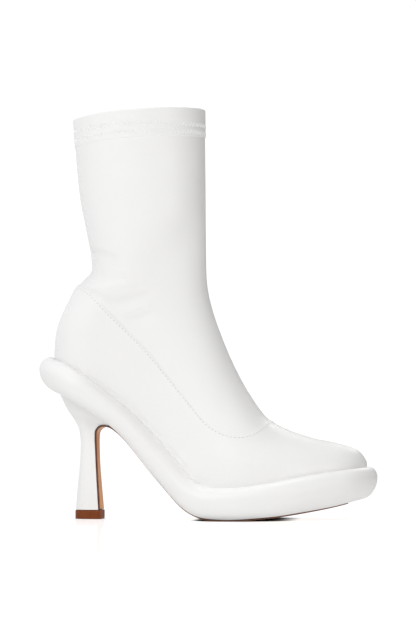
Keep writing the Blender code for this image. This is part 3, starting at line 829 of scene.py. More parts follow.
def add_stitches(name, stitches, sizes, material):
    """Short threads that arch over the leather and dive into it at both ends, joined as one piece."""
    starts, ends, facing = stitches
    facing = unit(facing)
    run = ends - starts
    side = unit(np.cross(facing, run))
    place = np.linspace(0, 1, STITCH_RINGS)
    arch = np.sqrt(np.sin(math.pi * place))
    middle = starts[:, None] + place[:, None] * run[:, None]
    middle += facing[:, None] * (sizes.thread * (arch - STITCH_SINK))[:, None]
    radius = sizes.thread / 2 * (STITCH_TAPER + (1 - STITCH_TAPER) * arch)
    points = middle[:, :, None] + radius[:, None, None] * circles(STITCH_SIDES, side, facing)[:, None]
    per_stitch = STITCH_RINGS * STITCH_SIDES
    pattern = np.array(ring_faces(STITCH_RINGS, STITCH_SIDES))[:, ::-1]
    shifts = np.arange(len(starts))[:, None, None] * per_stitch
    faces = (pattern[None] + shifts).reshape(-1, 4).tolist()
    low_cap = np.arange(STITCH_SIDES)
    high_cap = (per_stitch - STITCH_SIDES + low_cap)[::-1]
    for cap in (low_cap, high_cap):
        faces += (cap[None] + shifts[:, 0]).tolist()
    return add_piece(name, points, faces, material)


def add_painted_hole_shadows(name, stitches, sizes, material):
    """Small dark discs at the ends of stitches, with the needle holes' shadow painted on them, joined as one
    piece.
    """
    starts, ends, facing = stitches
    centres = np.concatenate([starts, ends])
    facing = unit(np.concatenate([facing, facing]))
    side = unit(np.cross(facing, np.concatenate([ends - starts] * 2)))
    radius = sizes.needle_hole / 2
    rim = radius * circles(HOLE_SIDES, np.cross(side, facing), side)
    lift = radius * facing[:, None]
    points = np.concatenate([centres[:, None] + rim + HOLE_RIM_LIFT * lift,
                             centres[:, None] + HOLE_MIDDLE_LIFT * lift], axis=1)
    i = np.arange(HOLE_SIDES)
    fan = np.stack([i, (i + 1) % HOLE_SIDES, np.full(HOLE_SIDES, HOLE_SIDES)], axis=1)
    shifts = np.arange(len(centres))[:, None, None] * (HOLE_SIDES + 1)
    return add_piece(name, points, (fan[None] + shifts).reshape(-1, 3).tolist(), material)


def feed(tree, node, inputs):
    """Set a node's inputs, each to a value or to another node's output."""
    for name, value in inputs.items():
        if isinstance(value, bpy.types.NodeSocket):
            tree.links.new(value, node.inputs[name])
        else:
            node.inputs[name].default_value = value


def place_node(tree, kind, inputs=None, **settings):
    """Add a node and set its inputs."""
    node = tree.nodes.new(kind)
    for name, value in settings.items():
        setattr(node, name, value)
    feed(tree, node, inputs or {})
    return node


def maths(tree, operation, first, second=0.0):
    """Output of a Math node."""
    return place_node(tree, "ShaderNodeMath", {0: first, 1: second}, operation=operation).outputs[0]


def ranged(tree, value, low, high, to_low, to_high):
    """A value brought from one range to another."""
    sockets = {"Value": value, "From Min": low, "From Max": high, "To Min": to_low, "To Max": to_high}
    return place_node(tree, "ShaderNodeMapRange", sockets).outputs["Result"]


MIX_SHARE, MIX_FIRST, MIX_SECOND, MIX_RESULT = 0, 6, 7, 2   # sockets of a Mix node that mixes colours


def mixed(tree, share, first, second):
    """A colour between two colours."""
    sockets = {MIX_SHARE: share, MIX_FIRST: first, MIX_SECOND: second}
    return place_node(tree, "ShaderNodeMix", sockets, data_type="RGBA").outputs[MIX_RESULT]


def noise(tree, scale, detail, roughness=0.5):
    """Even noise in the boot's own coordinates."""
    where = place_node(tree, "ShaderNodeTexCoord").outputs["Object"]
    sockets = {"Vector": where, "Scale": scale, "Detail": detail, "Roughness": roughness}
    return place_node(tree, "ShaderNodeTexNoise", sockets).outputs["Fac"]


def marked(tree, name):
    """A value that a piece carries at each of its points."""
    return place_node(tree, "ShaderNodeAttribute", attribute_name=name).outputs["Fac"]


def bumped(tree, height, strength, distance):
    """Normal that is driven by a height."""
    sockets = {"Height": height, "Strength": strength, "Distance": distance}
    return place_node(tree, "ShaderNodeBump", sockets).outputs["Normal"]


def opaque(colour):
    """A colour property as a colour socket's value."""
    return (*colour, 1.0)


def start_group(name, inputs, outputs):
    """New shader node group with named inputs and outputs, and its two end nodes."""
    tree = bpy.data.node_groups.new(name, "ShaderNodeTree")
    for socket, kind, default in inputs:
        made = tree.interface.new_socket(socket, in_out="INPUT", socket_type=kind)
        made.default_value = default
    for socket, kind in outputs:
        tree.interface.new_socket(socket, in_out="OUTPUT", socket_type=kind)
    return tree, tree.nodes.new("NodeGroupInput").outputs, tree.nodes.new("NodeGroupOutput")


WHITE, BLACK = (1, 1, 1, 1), (0, 0, 0, 1)
COLOUR_SOCKET, VALUE_SOCKET = "NodeSocketColor", "NodeSocketFloat"

# Grain of the white leather, with shade painted into its folds and between its pebbles.
BEND_SCALE = 380.0
BEND = 0.0012              # how far the pebbles' outlines wander
PORE_SCALE = 5200.0
CLOUD_SCALE = 34.0
PEBBLE_HEIGHT = 0.75
PORE_HEIGHT = 0.45
DEEP_FOLD = -0.8 * MM      # a fold sunk this far has all of its shade
FOLD_PAINTED_SHADE = 0.12
GAP_PAINTED_SHADE = 0.12           # shade between the pebbles
GAP_ROUGHNESS = 0.10


def leather_grain():
    """Fine pebbled grain with pores and soft mottling, with shade painted into the colour in the folds and
    between the pebbles.
    """
    name = "Leather grain"
    if name in bpy.data.node_groups:
        return bpy.data.node_groups[name]
    tree, given, result = start_group(
        name,
        (("Colour", COLOUR_SOCKET, WHITE), ("Shade", COLOUR_SOCKET, WHITE), ("Pebbles", VALUE_SOCKET, 1200.0),
         ("Mottling", VALUE_SOCKET, 0.3), ("Fold", VALUE_SOCKET, 0.0), ("Roughness", VALUE_SOCKET, 0.45)),
        (("Colour", COLOUR_SOCKET), ("Roughness", VALUE_SOCKET), ("Height", VALUE_SOCKET)))
    where = place_node(tree, "ShaderNodeTexCoord").outputs["Object"]
    bend = place_node(tree, "ShaderNodeTexNoise", {"Vector": where, "Scale": BEND_SCALE, "Detail": 2.0})
    sockets = {0: bend.outputs["Color"], "Scale": BEND}
    shift = place_node(tree, "ShaderNodeVectorMath", sockets, operation="SCALE").outputs["Vector"]
    bent = place_node(tree, "ShaderNodeVectorMath", {0: where, 1: shift}, operation="ADD").outputs["Vector"]
    sockets = {"Vector": bent, "Scale": given["Pebbles"]}
    cells = place_node(tree, "ShaderNodeTexVoronoi", sockets, feature="DISTANCE_TO_EDGE").outputs["Distance"]
    pebble = ranged(tree, cells, 0.0, 0.35, 0.0, 1.0)
    pores = noise(tree, PORE_SCALE, detail=3.0)
    cloud = noise(tree, CLOUD_SCALE, detail=4.0, roughness=0.55)
    sunk = ranged(tree, given["Fold"], DEEP_FOLD, 0.0, 1.0, 0.0)
    # The Shade colour is mixed in for the mottling, and as painted shade in the folds and between the
    # pebbles.
    shade = maths(tree, "MULTIPLY", ranged(tree, cloud, 0.35, 0.7, 0.0, 1.0), given["Mottling"])
    shade = maths(tree, "ADD", shade, maths(tree, "MULTIPLY", sunk, FOLD_PAINTED_SHADE))
    shade = maths(tree, "ADD", shade, ranged(tree, pebble, 0.0, 0.5, GAP_PAINTED_SHADE, 0.0))
    gloss = maths(tree, "ADD", given["Roughness"], ranged(tree, cloud, 0.3, 0.7, -0.05, 0.06))
    feed(tree, result, {
        "Colour": mixed(tree, maths(tree, "MINIMUM", shade, 1.0), given["Colour"], given["Shade"]),
        "Roughness": maths(tree, "ADD", gloss, ranged(tree, pebble, 0.0, 0.6, GAP_ROUGHNESS, 0.0)),
        "Height": maths(tree, "ADD", maths(tree, "MULTIPLY", pebble, PEBBLE_HEIGHT),
                        maths(tree, "MULTIPLY", pores, PORE_HEIGHT)),
    })
    return tree


def clouded_tint():
    """Two tints of one material, which run into each other in soft clouds."""
    name = "Clouded tint"
    if name in bpy.data.node_groups:
        return bpy.data.node_groups[name]
    tree, given, result = start_group(
        name,
        (("Colour", COLOUR_SOCKET, WHITE), ("Shade", COLOUR_SOCKET, WHITE), ("Scale", VALUE_SOCKET, 60.0),
         ("Detail", VALUE_SOCKET, 4.0), ("Low", VALUE_SOCKET, 0.3), ("High", VALUE_SOCKET, 0.7)),
        (("Colour", COLOUR_SOCKET),))
    cloud = noise(tree, given["Scale"], given["Detail"])
    share = ranged(tree, cloud, given["Low"], given["High"], 0.0, 1.0)
    feed(tree, result, {"Colour": mixed(tree, share, given["Colour"], given["Shade"])})
    return tree


def clouded(tree, colour, shade, scale, detail, low, high):
    """A colour that is clouded with another one."""
    sockets = {"Colour": opaque(colour), "Shade": opaque(shade), "Scale": scale, "Detail": detail,
               "Low": low, "High": high}
    return place_node(tree, "ShaderNodeGroup", sockets, node_tree=clouded_tint()).outputs["Colour"]


def start_material(name):
    """New material, with its tree and its shader."""
    old = bpy.data.materials.get(name)
    if old:
        bpy.data.materials.remove(old)
    material = bpy.data.materials.new(name)
    material.use_nodes = True
    return material, material.node_tree, material.node_tree.nodes["Principled BSDF"]


# Each panel's grain, mottling and gloss. Pebbles are counted in a metre; the grain's depth is in millimetres.
LEATHER_COLUMNS = ("pebbles", "mottling", "roughness", "coat", "grain_depth")
LEATHERS = {
    "vamp leather":     (1250.0, 0.05, 0.40, 0.12, 0.09),
    "leg leather":      (1500.0, 0.05, 0.44, 0.06, 0.08),
    "platform leather": (1250.0, 0.05, 0.42, 0.10, 0.09),
    "heel leather":     (1400.0, 0.05, 0.38, 0.15, 0.07),
}


def white_leather(name, colours):
    """White grain leather of one panel."""
    panel = dict(zip(LEATHER_COLUMNS, LEATHERS[name]))
    material, tree, shader = start_material(name)
    sockets = {
        "Colour": opaque(colours.leather),
        "Shade": opaque(colours.leather_mottle_and_painted_shade),
        "Pebbles": panel["pebbles"],
        "Mottling": panel["mottling"],
        "Fold": marked(tree, "fold"),
        "Roughness": panel["roughness"],
    }
    grain = place_node(tree, "ShaderNodeGroup", sockets, node_tree=leather_grain()).outputs
    feed(tree, shader, {
        "Base Color": grain["Colour"],
        "Roughness": grain["Roughness"],
        "Normal": bumped(tree, grain["Height"], strength=0.35, distance=panel["grain_depth"] * MM),
        "Specular IOR Level": 0.45,
        "Coat Weight": panel["coat"],
        "Coat Roughness": 0.32,
    })
    return material


def lining_leather(colours):
    """Pale unglazed lining, with a soft nap."""
    material, tree, shader = start_material("lining leather")
    nap = noise(tree, scale=3800.0, detail=4.0, roughness=0.65)
    pale = clouded(tree, colours.lining, colours.lining_shade, scale=60.0, detail=5.0, low=0.3, high=0.7)
    feed(tree, shader, {
        "Base Color": pale,
        "Roughness": ranged(tree, nap, 0.3, 0.7, 0.62, 0.85),
        "Normal": bumped(tree, nap, strength=0.5, distance=0.12 * MM),
        "Sheen Weight": 0.15,
        "Specular IOR Level": 0.3,
    })
    return material


FIBRE_SCALE = (90.0, 900.0, 900.0)   # the sole leather's fibres run along the boot


def sole_leather(colours):
    """Tan sole leather, with a dark brown dressing on its cut edge."""
    material, tree, shader = start_material("sole leather")
    where = place_node(tree, "ShaderNodeTexCoord").outputs["Object"]
    sockets = {"Vector": where, "Scale": FIBRE_SCALE}
    stretched = place_node(tree, "ShaderNodeMapping", sockets).outputs["Vector"]
    sockets = {"Vector": stretched, "Scale": 1.0, "Detail": 4.0}
    fibres = place_node(tree, "ShaderNodeTexNoise", sockets).outputs["Fac"]
    tan = clouded(tree, colours.sole, colours.sole_shade, scale=48.0, detail=4.0, low=0.3, high=0.7)
    tan = mixed(tree, ranged(tree, fibres, 0.45, 0.75, 0.0, 0.4), tan, opaque(colours.sole_shade))
    dressing = mixed(tree, ranged(tree, fibres, 0.35, 0.7, 0.0, 1.0),
                     opaque(colours.sole_edge), opaque(colours.sole_edge_dark))
    edge = marked(tree, "cut_edge")
    feed(tree, shader, {
        "Base Color": mixed(tree, edge, tan, dressing),
        "Roughness": ranged(tree, edge, 0.0, 1.0, 0.48, 0.30),
        "Normal": bumped(tree, fibres, strength=0.25, distance=0.15 * MM),
        "Coat Weight": ranged(tree, edge, 0.0, 1.0, 0.05, 0.25),
        "Coat Roughness": 0.09,
    })
    return material


def tip_rubber(colours):
    """Hard brown rubber, finely ground."""
    material, tree, shader = start_material("tip rubber")
    grit = noise(tree, scale=2600.0, detail=4.0, roughness=0.6)
    brown = clouded(tree, colours.tip, colours.tip_dark, scale=120.0, detail=3.0, low=0.35, high=0.65)
    feed(tree, shader, {
        "Base Color": brown,
        "Roughness": ranged(tree, grit, 0.3, 0.7, 0.42, 0.6),
        "Normal": bumped(tree, grit, strength=0.3, distance=0.1 * MM),
        "Specular IOR Level": 0.2,
    })
    return material


TWIST_SCALE, TWIST_DETAIL = 4200.0, 2.0


def white_thread(colours):
    """Bonded white thread with a fine twist, with shade painted into the twist's grooves."""
    material, tree, shader = start_material("white thread")
    twist = noise(tree, TWIST_SCALE, TWIST_DETAIL)
    # The strands darken where the twist's bump is low: painted shade in its grooves.
    strands = clouded(tree, colours.thread_painted_shade, colours.thread, TWIST_SCALE, TWIST_DETAIL,
                      low=0.4, high=0.65)
    feed(tree, shader, {
        "Base Color": strands,
        "Roughness": 0.5,
        "Normal": bumped(tree, twist, strength=0.4, distance=0.1 * MM),
        "Sheen Weight": 0.2,
    })
    return material


def painted_hole_shadow(colours):
    """Painted shadow of a needle hole, on a dark disc over the leather."""
    material, tree, shader = start_material("pricked leather")
    dim = clouded(tree, colours.hole_shadow, colours.hole_shadow_dark, scale=1500.0, detail=2.0, low=0.35, high=0.65)
    feed(tree, shader, {
        "Base Color": dim,
        "Roughness": 0.8,
        "Specular IOR Level": 0.1,
    })
    return material


def length(name, description, millimetres):
    """Property for a length."""
    return FloatProperty(name=name, description=description, default=millimetres * MM, min=0.0,
                         unit="LENGTH", precision=5)


def amount(name, description, default, **limits):
    """Property for a share or a strength."""
    return FloatProperty(name=name, description=description, default=default, min=0.0, **limits)


def tint(name, description, default):
    """Property for a colour."""
    return FloatVectorProperty(name=name, description=description, default=default, size=3, min=0.0, max=1.0,
                               subtype="COLOR")


def power(name, description, watts):
    """Property for the power of a light."""
    return FloatProperty(name=name, description=description, default=watts, min=0.0, unit="POWER")


class BootSizes(bpy.types.PropertyGroup):
    """Sizes of the leathers and the stitching."""
    vamp_wall: length("Vamp wall", "Thickness of the vamp and quarters", 1.4)
    vamp_edge: length("Vamp edge", "Thickness of the vamp's edge, pared down along the seam", 0.6)
    vamp_paring: length("Vamp paring", "Width of the pared strip along the vamp's edge", 7.0)
    vamp_tuck: length("Vamp tuck", "How far the vamp reaches down into the groove over the platform", 2.2)
    vamp_undercut: length("Vamp undercut", "How far the vamp draws in over the groove, under the arch", 0.8)
    lap: length("Lap", "How far the vamp stands proud of the leg at their seam", 0.6)
    leg_wall: length("Leg wall", "Thickness of the leg's leather", 0.8)
    hem_wall: length("Hem wall", "Thickness of the leg where it is turned over at the collar", 2.0)
    hem_step: length("Hem step", "How far the hem stands proud of the leg", 0.5)
    hem_edge: length("Hem edge", "Height over which the hem steps out", 1.0)
    hem_dip: length("Hem dip", "How far the zigzag rows draw the hem in", 0.15)
    lining_wall: length("Lining wall", "Thickness of the lining", 0.3)
    lining_depth: length("Lining depth", "From the vamp's face to the lining's inner face", 1.8)
    back_seam_groove: length("Back seam groove", "Depth of the groove down the centre back", 0.3)
    crease_depth: amount("Crease depth", "Share of the creases' full depth", 0.9, max=2.0, subtype="FACTOR")
    groove_depth: length("Groove depth", "Depth of the groove between the upper and the platform", 1.5)
    sole_edge_round: length("Sole edge round", "Radius of the outsole's lower corners", 0.5)
    tip_round: length("Tip round", "Radius of the heel tip's edges", 0.7)
    thread: length("Thread", "Thickness of the sewing thread", 0.55)
    needle_hole: length("Needle hole", "Diameter of a needle hole", 0.45)
    zigzag_start: length("Zigzag start", "From the rim down to the first zigzag row, at the back", 6.6)
    zigzag_height: length("Zigzag height", "Height of a zigzag row", 4.5)
    zigzag_space: length("Zigzag space", "Space between the two zigzag rows", 1.0)
    zigzag_droop: length("Zigzag droop", "How much further below the rim the rows lie at the front", 2.4)
    zigzag_pitch: length("Zigzag pitch", "Length of one zigzag, there and back", 3.0)
    topstitch_pitch: length("Topstitch pitch", "Length of a stitch along a seam", 2.8)
    topstitch_space: length("Topstitch space", "Space between two stitches along a seam", 0.7)
    topstitch_inset: length("Topstitch inset", "From the vamp's edge to its stitching", 1.5)
    leg_stay: length("Leg stay", "From the leg's centre back to the zigzag row beside it", 13.0)
    counter_stay: length("Counter stay", "From the counter's centre back to the stitching beside it", 16.0)


class BootColours(bpy.types.PropertyGroup):
    """Colours of the leathers, the thread, the rubber, the floor and the light."""
    leather: tint("Leather", "White leather", (0.894, 0.889, 0.880))
    # Darker tone of the mottling, and the colour of the shade painted into the folds and between the pebbles.
    leather_mottle_and_painted_shade: tint("Leather shade", "White leather in folds and between the grain", (0.70, 0.69, 0.67))
    lining: tint("Lining", "Lining leather", (0.82, 0.78, 0.72))
    lining_shade: tint("Lining shade", "Lining leather where it is darker", (0.72, 0.67, 0.60))
    sole: tint("Sole", "Tan sole leather", (0.78, 0.43, 0.19))
    sole_shade: tint("Sole shade", "Tan sole leather where it is darker", (0.66, 0.34, 0.14))
    sole_edge: tint("Sole edge", "Dressing on the outsole's cut edge", (0.14, 0.03, 0.008))
    sole_edge_dark: tint("Sole edge dark", "Dressing where it lies thicker", (0.06, 0.014, 0.004))
    tip: tint("Tip", "Heel tip", (0.24, 0.06, 0.012))
    tip_dark: tint("Tip dark", "Heel tip where it is darker", (0.18, 0.042, 0.008))
    thread: tint("Thread", "Sewing thread", (0.97, 0.97, 0.96))
    # Painted shade in the twist's grooves of the thread.
    thread_painted_shade: tint("Thread shade", "Sewing thread between its strands", (0.86, 0.86, 0.85))
    # Painted shadow of the needle holes, on the dark discs over them.
    hole_shadow: tint("Needle hole", "Leather inside a needle hole", (0.56, 0.54, 0.53))
    hole_shadow_dark: tint("Needle hole dark", "Leather in a needle hole where it is darker", (0.42, 0.41, 0.40))
    floor: tint("Floor", "Studio floor", (0.40, 0.40, 0.40))
    cool_light: tint("Cool light", "Light on the heel's side", (0.985, 0.992, 1.0))
    warm_light: tint("Warm light", "Light on the toe's side", (1.0, 0.98, 0.955))


class BootStudio(bpy.types.PropertyGroup):
    """Camera, lights and floor."""
    eye_distance: length("Eye distance", "From the boot to the camera", 2000.0)
    eye_height: length("Eye height", "From the floor up to the camera", 80.0)
    eye_swing: FloatProperty(name="Eye swing", description="Turn of the camera towards the toe",
                             default=math.radians(6.5), subtype="ANGLE")
    lens: amount("Lens", "Focal length on a 36 mm sensor, in millimetres", 162.4, subtype="DISTANCE_CAMERA")
    aim_along: length("Aim along", "How far in front of the boot's middle the camera looks", 0.55)
    aim_height: length("Aim height", "Height that the camera looks at", 144.0)
    key: power("Key", "Softbox to the left of the camera", 12.0)
    low: power("Low", "Softbox low beside the camera", 11.0)
    top: power("Top", "Softbox over the boot", 14.5)
    back_toe: power("Back toe", "Softbox behind the toe", 6.0)
    ambient: amount("Ambient", "Strength of the light all around, on the heel's side", 0.83)
    floor_glow: amount("Floor glow", "Light that the floor sheds on the boot", 0.53)
    floor_white: amount("Floor white", "Brightness that the floor adds in the picture", 1.10)
    # The painted contact shadow on the floor reaches this high.
    contact_reach: length("Contact reach", "Height up to which the boot darkens the floor under it", 4.5)
    floor_shine: amount("Floor shine", "Weight of the floor's clear coat", 0.55, max=1.0, subtype="FACTOR")


class BOOT_OT_vamp(bpy.types.Operator):
    """Make the vamp and quarters, one piece of leather lasted over the foot"""
    bl_idname = "boot.vamp"
    bl_label = "Vamp"

    def execute(self, context):
        sizes = context.scene.boot_sizes
        loops, normals, folds = skin(context)
        rows = np.arange(SEAM_ROW + 1)
        below_seam = np.linalg.norm(loops - loops[SEAM_ROW], axis=2)[rows]
        full = smooth_step(below_seam / sizes.vamp_paring)
        wall = sizes.vamp_edge + (sizes.vamp_wall - sizes.vamp_edge) * full
        facing = normals[rows]
        back = loops[rows] - wall[..., None] * facing
        face = loops[rows] - (sizes.vamp_undercut * undercut_share(loops[rows]))[..., None] * facing
        inside = rows[::-INSIDE_STRIDE]
        past_seam = unit(loops[SEAM_ROW] - loops[SEAM_ROW - 1])
        seam_edge = rounded_edge(face[-1], facing[-1], past_seam, sizes.vamp_edge, VAMP_EDGE_STEPS)
        tucked = np.array([0, 0, -sizes.vamp_tuck])
        rings = np.concatenate([face[:1] + tucked, face, seam_edge, back[inside], back[:1] + tucked])
        edge_marks = np.zeros(seam_edge.shape[:2])
        marks = np.concatenate([folds[:1], folds[rows], edge_marks, folds[inside], folds[:1]])
        leather = white_leather("vamp leather", context.scene.boot_colours)
        vamp = add_wall("vamp", rings, leather, WALL_SHARP, {"fold": marks})
        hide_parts("upper")
        return {"FINISHED"}


class BOOT_OT_leg(bpy.types.Operator):
    """Make the leg, turned over and rolled at the collar, with its lower edge under the vamp"""
    bl_idname = "boot.leg"
    bl_label = "Leg"

    def execute(self, context):
        sizes = context.scene.boot_sizes
        loops, normals, folds = skin(context)
        rows = np.arange(SEAM_ROW - LAP_ROWS, RIM_ROW + 1)
        face = loops + leg_face(sizes)[..., None] * normals
        hem_back = face - sizes.hem_wall * normals
        leg_back = loops - (sizes.lap + sizes.leg_wall) * normals
        past_rim = unit(loops[RIM_ROW] - loops[RIM_ROW - 1])
        rim = rounded_edge(face[RIM_ROW], normals[RIM_ROW], past_rim, sizes.hem_wall, RIM_STEPS)
        hem_inside = np.arange(RIM_ROW, HEM_ROW, -INSIDE_STRIDE)
        leg_inside = np.arange(HEM_ROW, SEAM_ROW - LAP_ROWS, -INSIDE_STRIDE)
        hem_ledge = hem_back[HEM_ROW + 1:HEM_ROW + 2]
        rings = np.concatenate([face[rows], rim, hem_back[hem_inside], hem_ledge, leg_back[leg_inside],
                                leg_back[rows[:1]]])
        hem_marks = np.zeros((len(rim) + len(hem_inside) + 1, rings.shape[1]))
        marks = np.concatenate([folds[rows], hem_marks, folds[leg_inside], folds[rows[:1]]])
        leather = white_leather("leg leather", context.scene.boot_colours)
        leg = add_wall("leg", rings, leather, WALL_SHARP, {"fold": marks})
        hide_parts("shaft")
        return {"FINISHED"}


class BOOT_OT_lining(bpy.types.Operator):
    """Make the lining, a thin skin inside the vamp and the leg"""
    bl_idname = "boot.lining"
    bl_label = "Lining"

    def execute(self, context):
        sizes = context.scene.boot_sizes
        loops, normals, _ = skin(context)
        rows = np.arange(0, HEM_ROW, INSIDE_STRIDE)
        face = loops[rows] - (sizes.lining_depth - sizes.lining_wall) * normals[rows]
        back = loops[rows] - sizes.lining_depth * normals[rows]
        for side in (face, back):
            side[..., 2] = np.maximum(side[..., 2], platform_top(side[..., 0]))
        rings = np.concatenate([face, back[::-1]])
        add_wall("lining", rings, lining_leather(context.scene.boot_colours), PAD_SHARP)
        return {"FINISHED"}


class BOOT_OT_platform(bpy.types.Operator):
    """Make the padded platform edge that swells out under the upper"""
    bl_idname = "boot.platform"
    bl_label = "Padded platform"

    def execute(self, context):
        loops = platform_loops(context.scene.boot_sizes.groove_depth)[::-1]
        leather = white_leather("platform leather", context.scene.boot_colours)
        pad = add_stack("platform_pad", loops, leather, PAD_SHARP)
        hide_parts("platform")
        return {"FINISHED"}


class BOOT_OT_heel(bpy.types.Operator):
    """Make the wrapped heel and its rubber tip"""
    bl_idname = "boot.heel"
    bl_label = "Heel and tip"

    def execute(self, context):
        colours = context.scene.boot_colours
        loops = np.array([heel_outline(*line) for line in zip(*heel_lines(HEEL_ROWS))])
        loops[0, :, 2] = sole_seat(loops[0, :, 0])
        leather = white_leather("heel leather", colours)
        heel = add_stack("heel_cover", loops[::-1], leather, HEEL_SHARP)
        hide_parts("heel")
        loops = self.tip_loops(context.scene.boot_sizes.tip_round)
        tip = add_stack("heel_tip_rubber", loops, tip_rubber(colours), HEEL_SHARP)
        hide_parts("heel_tip")
        return {"FINISHED"}

    def tip_loops(self, edge_round):
        """Loops of the tip from the floor up, with its edges rounded."""
        angles = np.linspace(0, math.pi / 2, TIP_STEPS)
        insets = edge_round * (1 - np.sin(angles))
        drops = edge_round * (1 - np.cos(angles))
        heights = np.concatenate([drops, TIP_HEIGHT - drops[::-1]])
        loops = []
        for height, inset in zip(heights, np.concatenate([insets, insets[::-1]])):
            back = np.array([HEEL_BACK[-1, 0] - TIP_MARGIN + inset, height])
            breast = np.array([HEEL_BREAST[-1, 0] + SOLE_GAP + FLAP_THICK + TIP_MARGIN - inset, height])
            loops.append(heel_outline(back, breast, HEEL_WIDTH[-1, 0] + TIP_MARGIN - inset))
        return np.array(loops)


class BOOT_OT_sole(bpy.types.Operator):
    """Make the outsole, carried on down the heel breast"""
    bl_idname = "boot.sole"
    bl_label = "Outsole"

    def execute(self, context):
        sections = sole_sections(context.scene.boot_sizes.sole_edge_round)
        rings, count = sections.shape[:2]
        faces = ring_faces(rings, count)
        faces += [tuple(range(count))[::-1], tuple(range((rings - 1) * count, rings * count))]
        marks = np.tile(SOLE_EDGE_MARK, (rings, 1))
        marks[[0, -1]] = 1
        leather = sole_leather(context.scene.boot_colours)
        sole = add_piece("sole", sections, faces, leather, HEEL_SHARP, {"cut_edge": marks})
        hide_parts("outsole")
        return {"FINISHED"}


# Rings up the footbed's rounded edge: share of its thickness, and how far in they lie.
FOOTBED_COLUMNS = ("rise", "margin")
FOOTBED_EDGE = (
    (0.75, 0.0),
    (0.93, 0.2),
    (1.0, 0.7),
    (1.0, 1.5),
)


class BOOT_OT_footbed(bpy.types.Operator):
    """Make the footbed that lies inside the upper"""
    bl_idname = "boot.footbed"
    bl_label = "Footbed"

    def execute(self, context):
        loops, normals, _ = skin(context)
        wall = loops[0] - context.scene.boot_sizes.lining_depth * normals[0]
        low = inset_ring(wall, FOOTBED_MARGIN)
        low[:, 2] = platform_top(low[:, 0])
        rings = [low]
        for rise, margin in picked(FOOTBED_EDGE, FOOTBED_COLUMNS, "rise", "margin"):
            ring = inset_ring(low, margin * MM)
            ring[:, 2] = platform_top(ring[:, 0]) + rise * FOOTBED_THICK
            rings.append(ring)
        leather = lining_leather(context.scene.boot_colours)
        footbed = add_stack("footbed", np.array(rings), leather, PAD_SHARP)
        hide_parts("insole")
        return {"FINISHED"}


class BOOT_OT_stitching(bpy.types.Operator):
    """Make the hem's and the back's zigzags, the topstitching, and dark discs with its needle holes' shadows
    painted on them
    """
    bl_idname = "boot.stitching"
    bl_label = "Stitching"

    def execute(self, context):
        sizes = context.scene.boot_sizes
        colours = context.scene.boot_colours
        thread, hole_shadow = white_thread(colours), painted_hole_shadow(colours)
        zigzags = {
            "hem_stitches": self.hem_rows(context, outside=True),
            "hem_inside_stitches": self.hem_rows(context, outside=False),
            "leg_back_stitches": self.leg_back_rows(context),
        }
        for name, stitches in zigzags.items():
            add_stitches(name, stitches, sizes, thread)
        seam = self.seam_row(context)
        add_stitches("counter_stitches", self.counter_rows(context), sizes, thread)
        add_stitches("seam_stitches", seam, sizes, thread)
        # Dark discs with the shadows of the seam's needle holes painted on them.
        add_painted_hole_shadows("seam_needle_holes", seam, sizes, hole_shadow)
        return {"FINISHED"}

    def hem_rows(self, context, outside):
        """The two zigzag rows around the hem, as they show outside or inside."""
        sizes = context.scene.boot_sizes
        lift = sizes.hem_step - sizes.lap - sizes.hem_dip
        if not outside:
            lift -= sizes.hem_wall
        half = sizes.zigzag_height / 2
        rows = [zigzag(level_line(context, middle - half, lift), level_line(context, middle + half, lift),
                       sizes.zigzag_pitch) for middle in zigzag_drops(sizes)]
        starts, ends, facing = joined(*rows)
        return starts, ends, facing if outside else -facing

    def leg_back_rows(self, context):
        """The zigzag row on each side of the leg's back seam."""
        sizes = context.scene.boot_sizes
        half = sizes.zigzag_height / 2
        rows = []
        for side in (-1, 1):
            lines = [upright_line(context, side * distance, SEAM_ROW + LAP_ROWS, HEM_ROW, -sizes.lap)
                     for distance in (sizes.leg_stay - half, sizes.leg_stay + half)]
            rows.append(zigzag(*lines, sizes.zigzag_pitch))
        return joined(*rows)

    def counter_rows(self, context):
        """The topstitch row on each side of the counter's back."""
        sizes = context.scene.boot_sizes
        end_rows = LAP_ROWS // 2
        rows = []
        for side in (-1, 1):
            line = upright_line(context, side * sizes.counter_stay, end_rows, SEAM_ROW - end_rows, lift=0)
            rows.append(topstitch(line, sizes.topstitch_pitch, sizes.topstitch_space))
        return joined(*rows)

    def seam_row(self, context):
        """The topstitch row along the vamp's edge."""
        sizes = context.scene.boot_sizes
        line = seam_line(context, sizes.topstitch_inset)
        return topstitch(line, sizes.topstitch_pitch, sizes.topstitch_space)


BOOT_MIDDLE = Vector((0.0, 0.0, 0.14))
FLOOR_RADIUS = 1.8
FLOOR_SIDES = 96
SHADOW_FULL, SHADOW_NONE = 0.35, 0.85   # openness of the floor at which the boot's shadow is full, and gone
COAT_NONE, COAT_FULL = 0.2, 0.5         # openness of the floor at which its clear coat is gone, and full
SEEN_WHITE = 1.1                        # brightness of the background in the picture
LIGHT_FULL, LIGHT_NONE = -0.6, 0.8      # how far towards the toe the light all around is full, and gone

SOFTBOX_DISTANCE = 2.2
SOFTBOX_SIZE = 0.7

# Softboxes around the boot: their turn from the front towards the toe and their height, in degrees.
SOFTBOX_COLUMNS = ("turn", "height", "power", "tint")
SOFTBOXES = {
    "key softbox":      (-20, 32, "key", "cool_light"),
    "low softbox":      (40, 6, "low", "warm_light"),
    "top softbox":      (0, 90, "top", "cool_light"),
    "back toe softbox": (160, 32, "back_toe", "warm_light"),
}


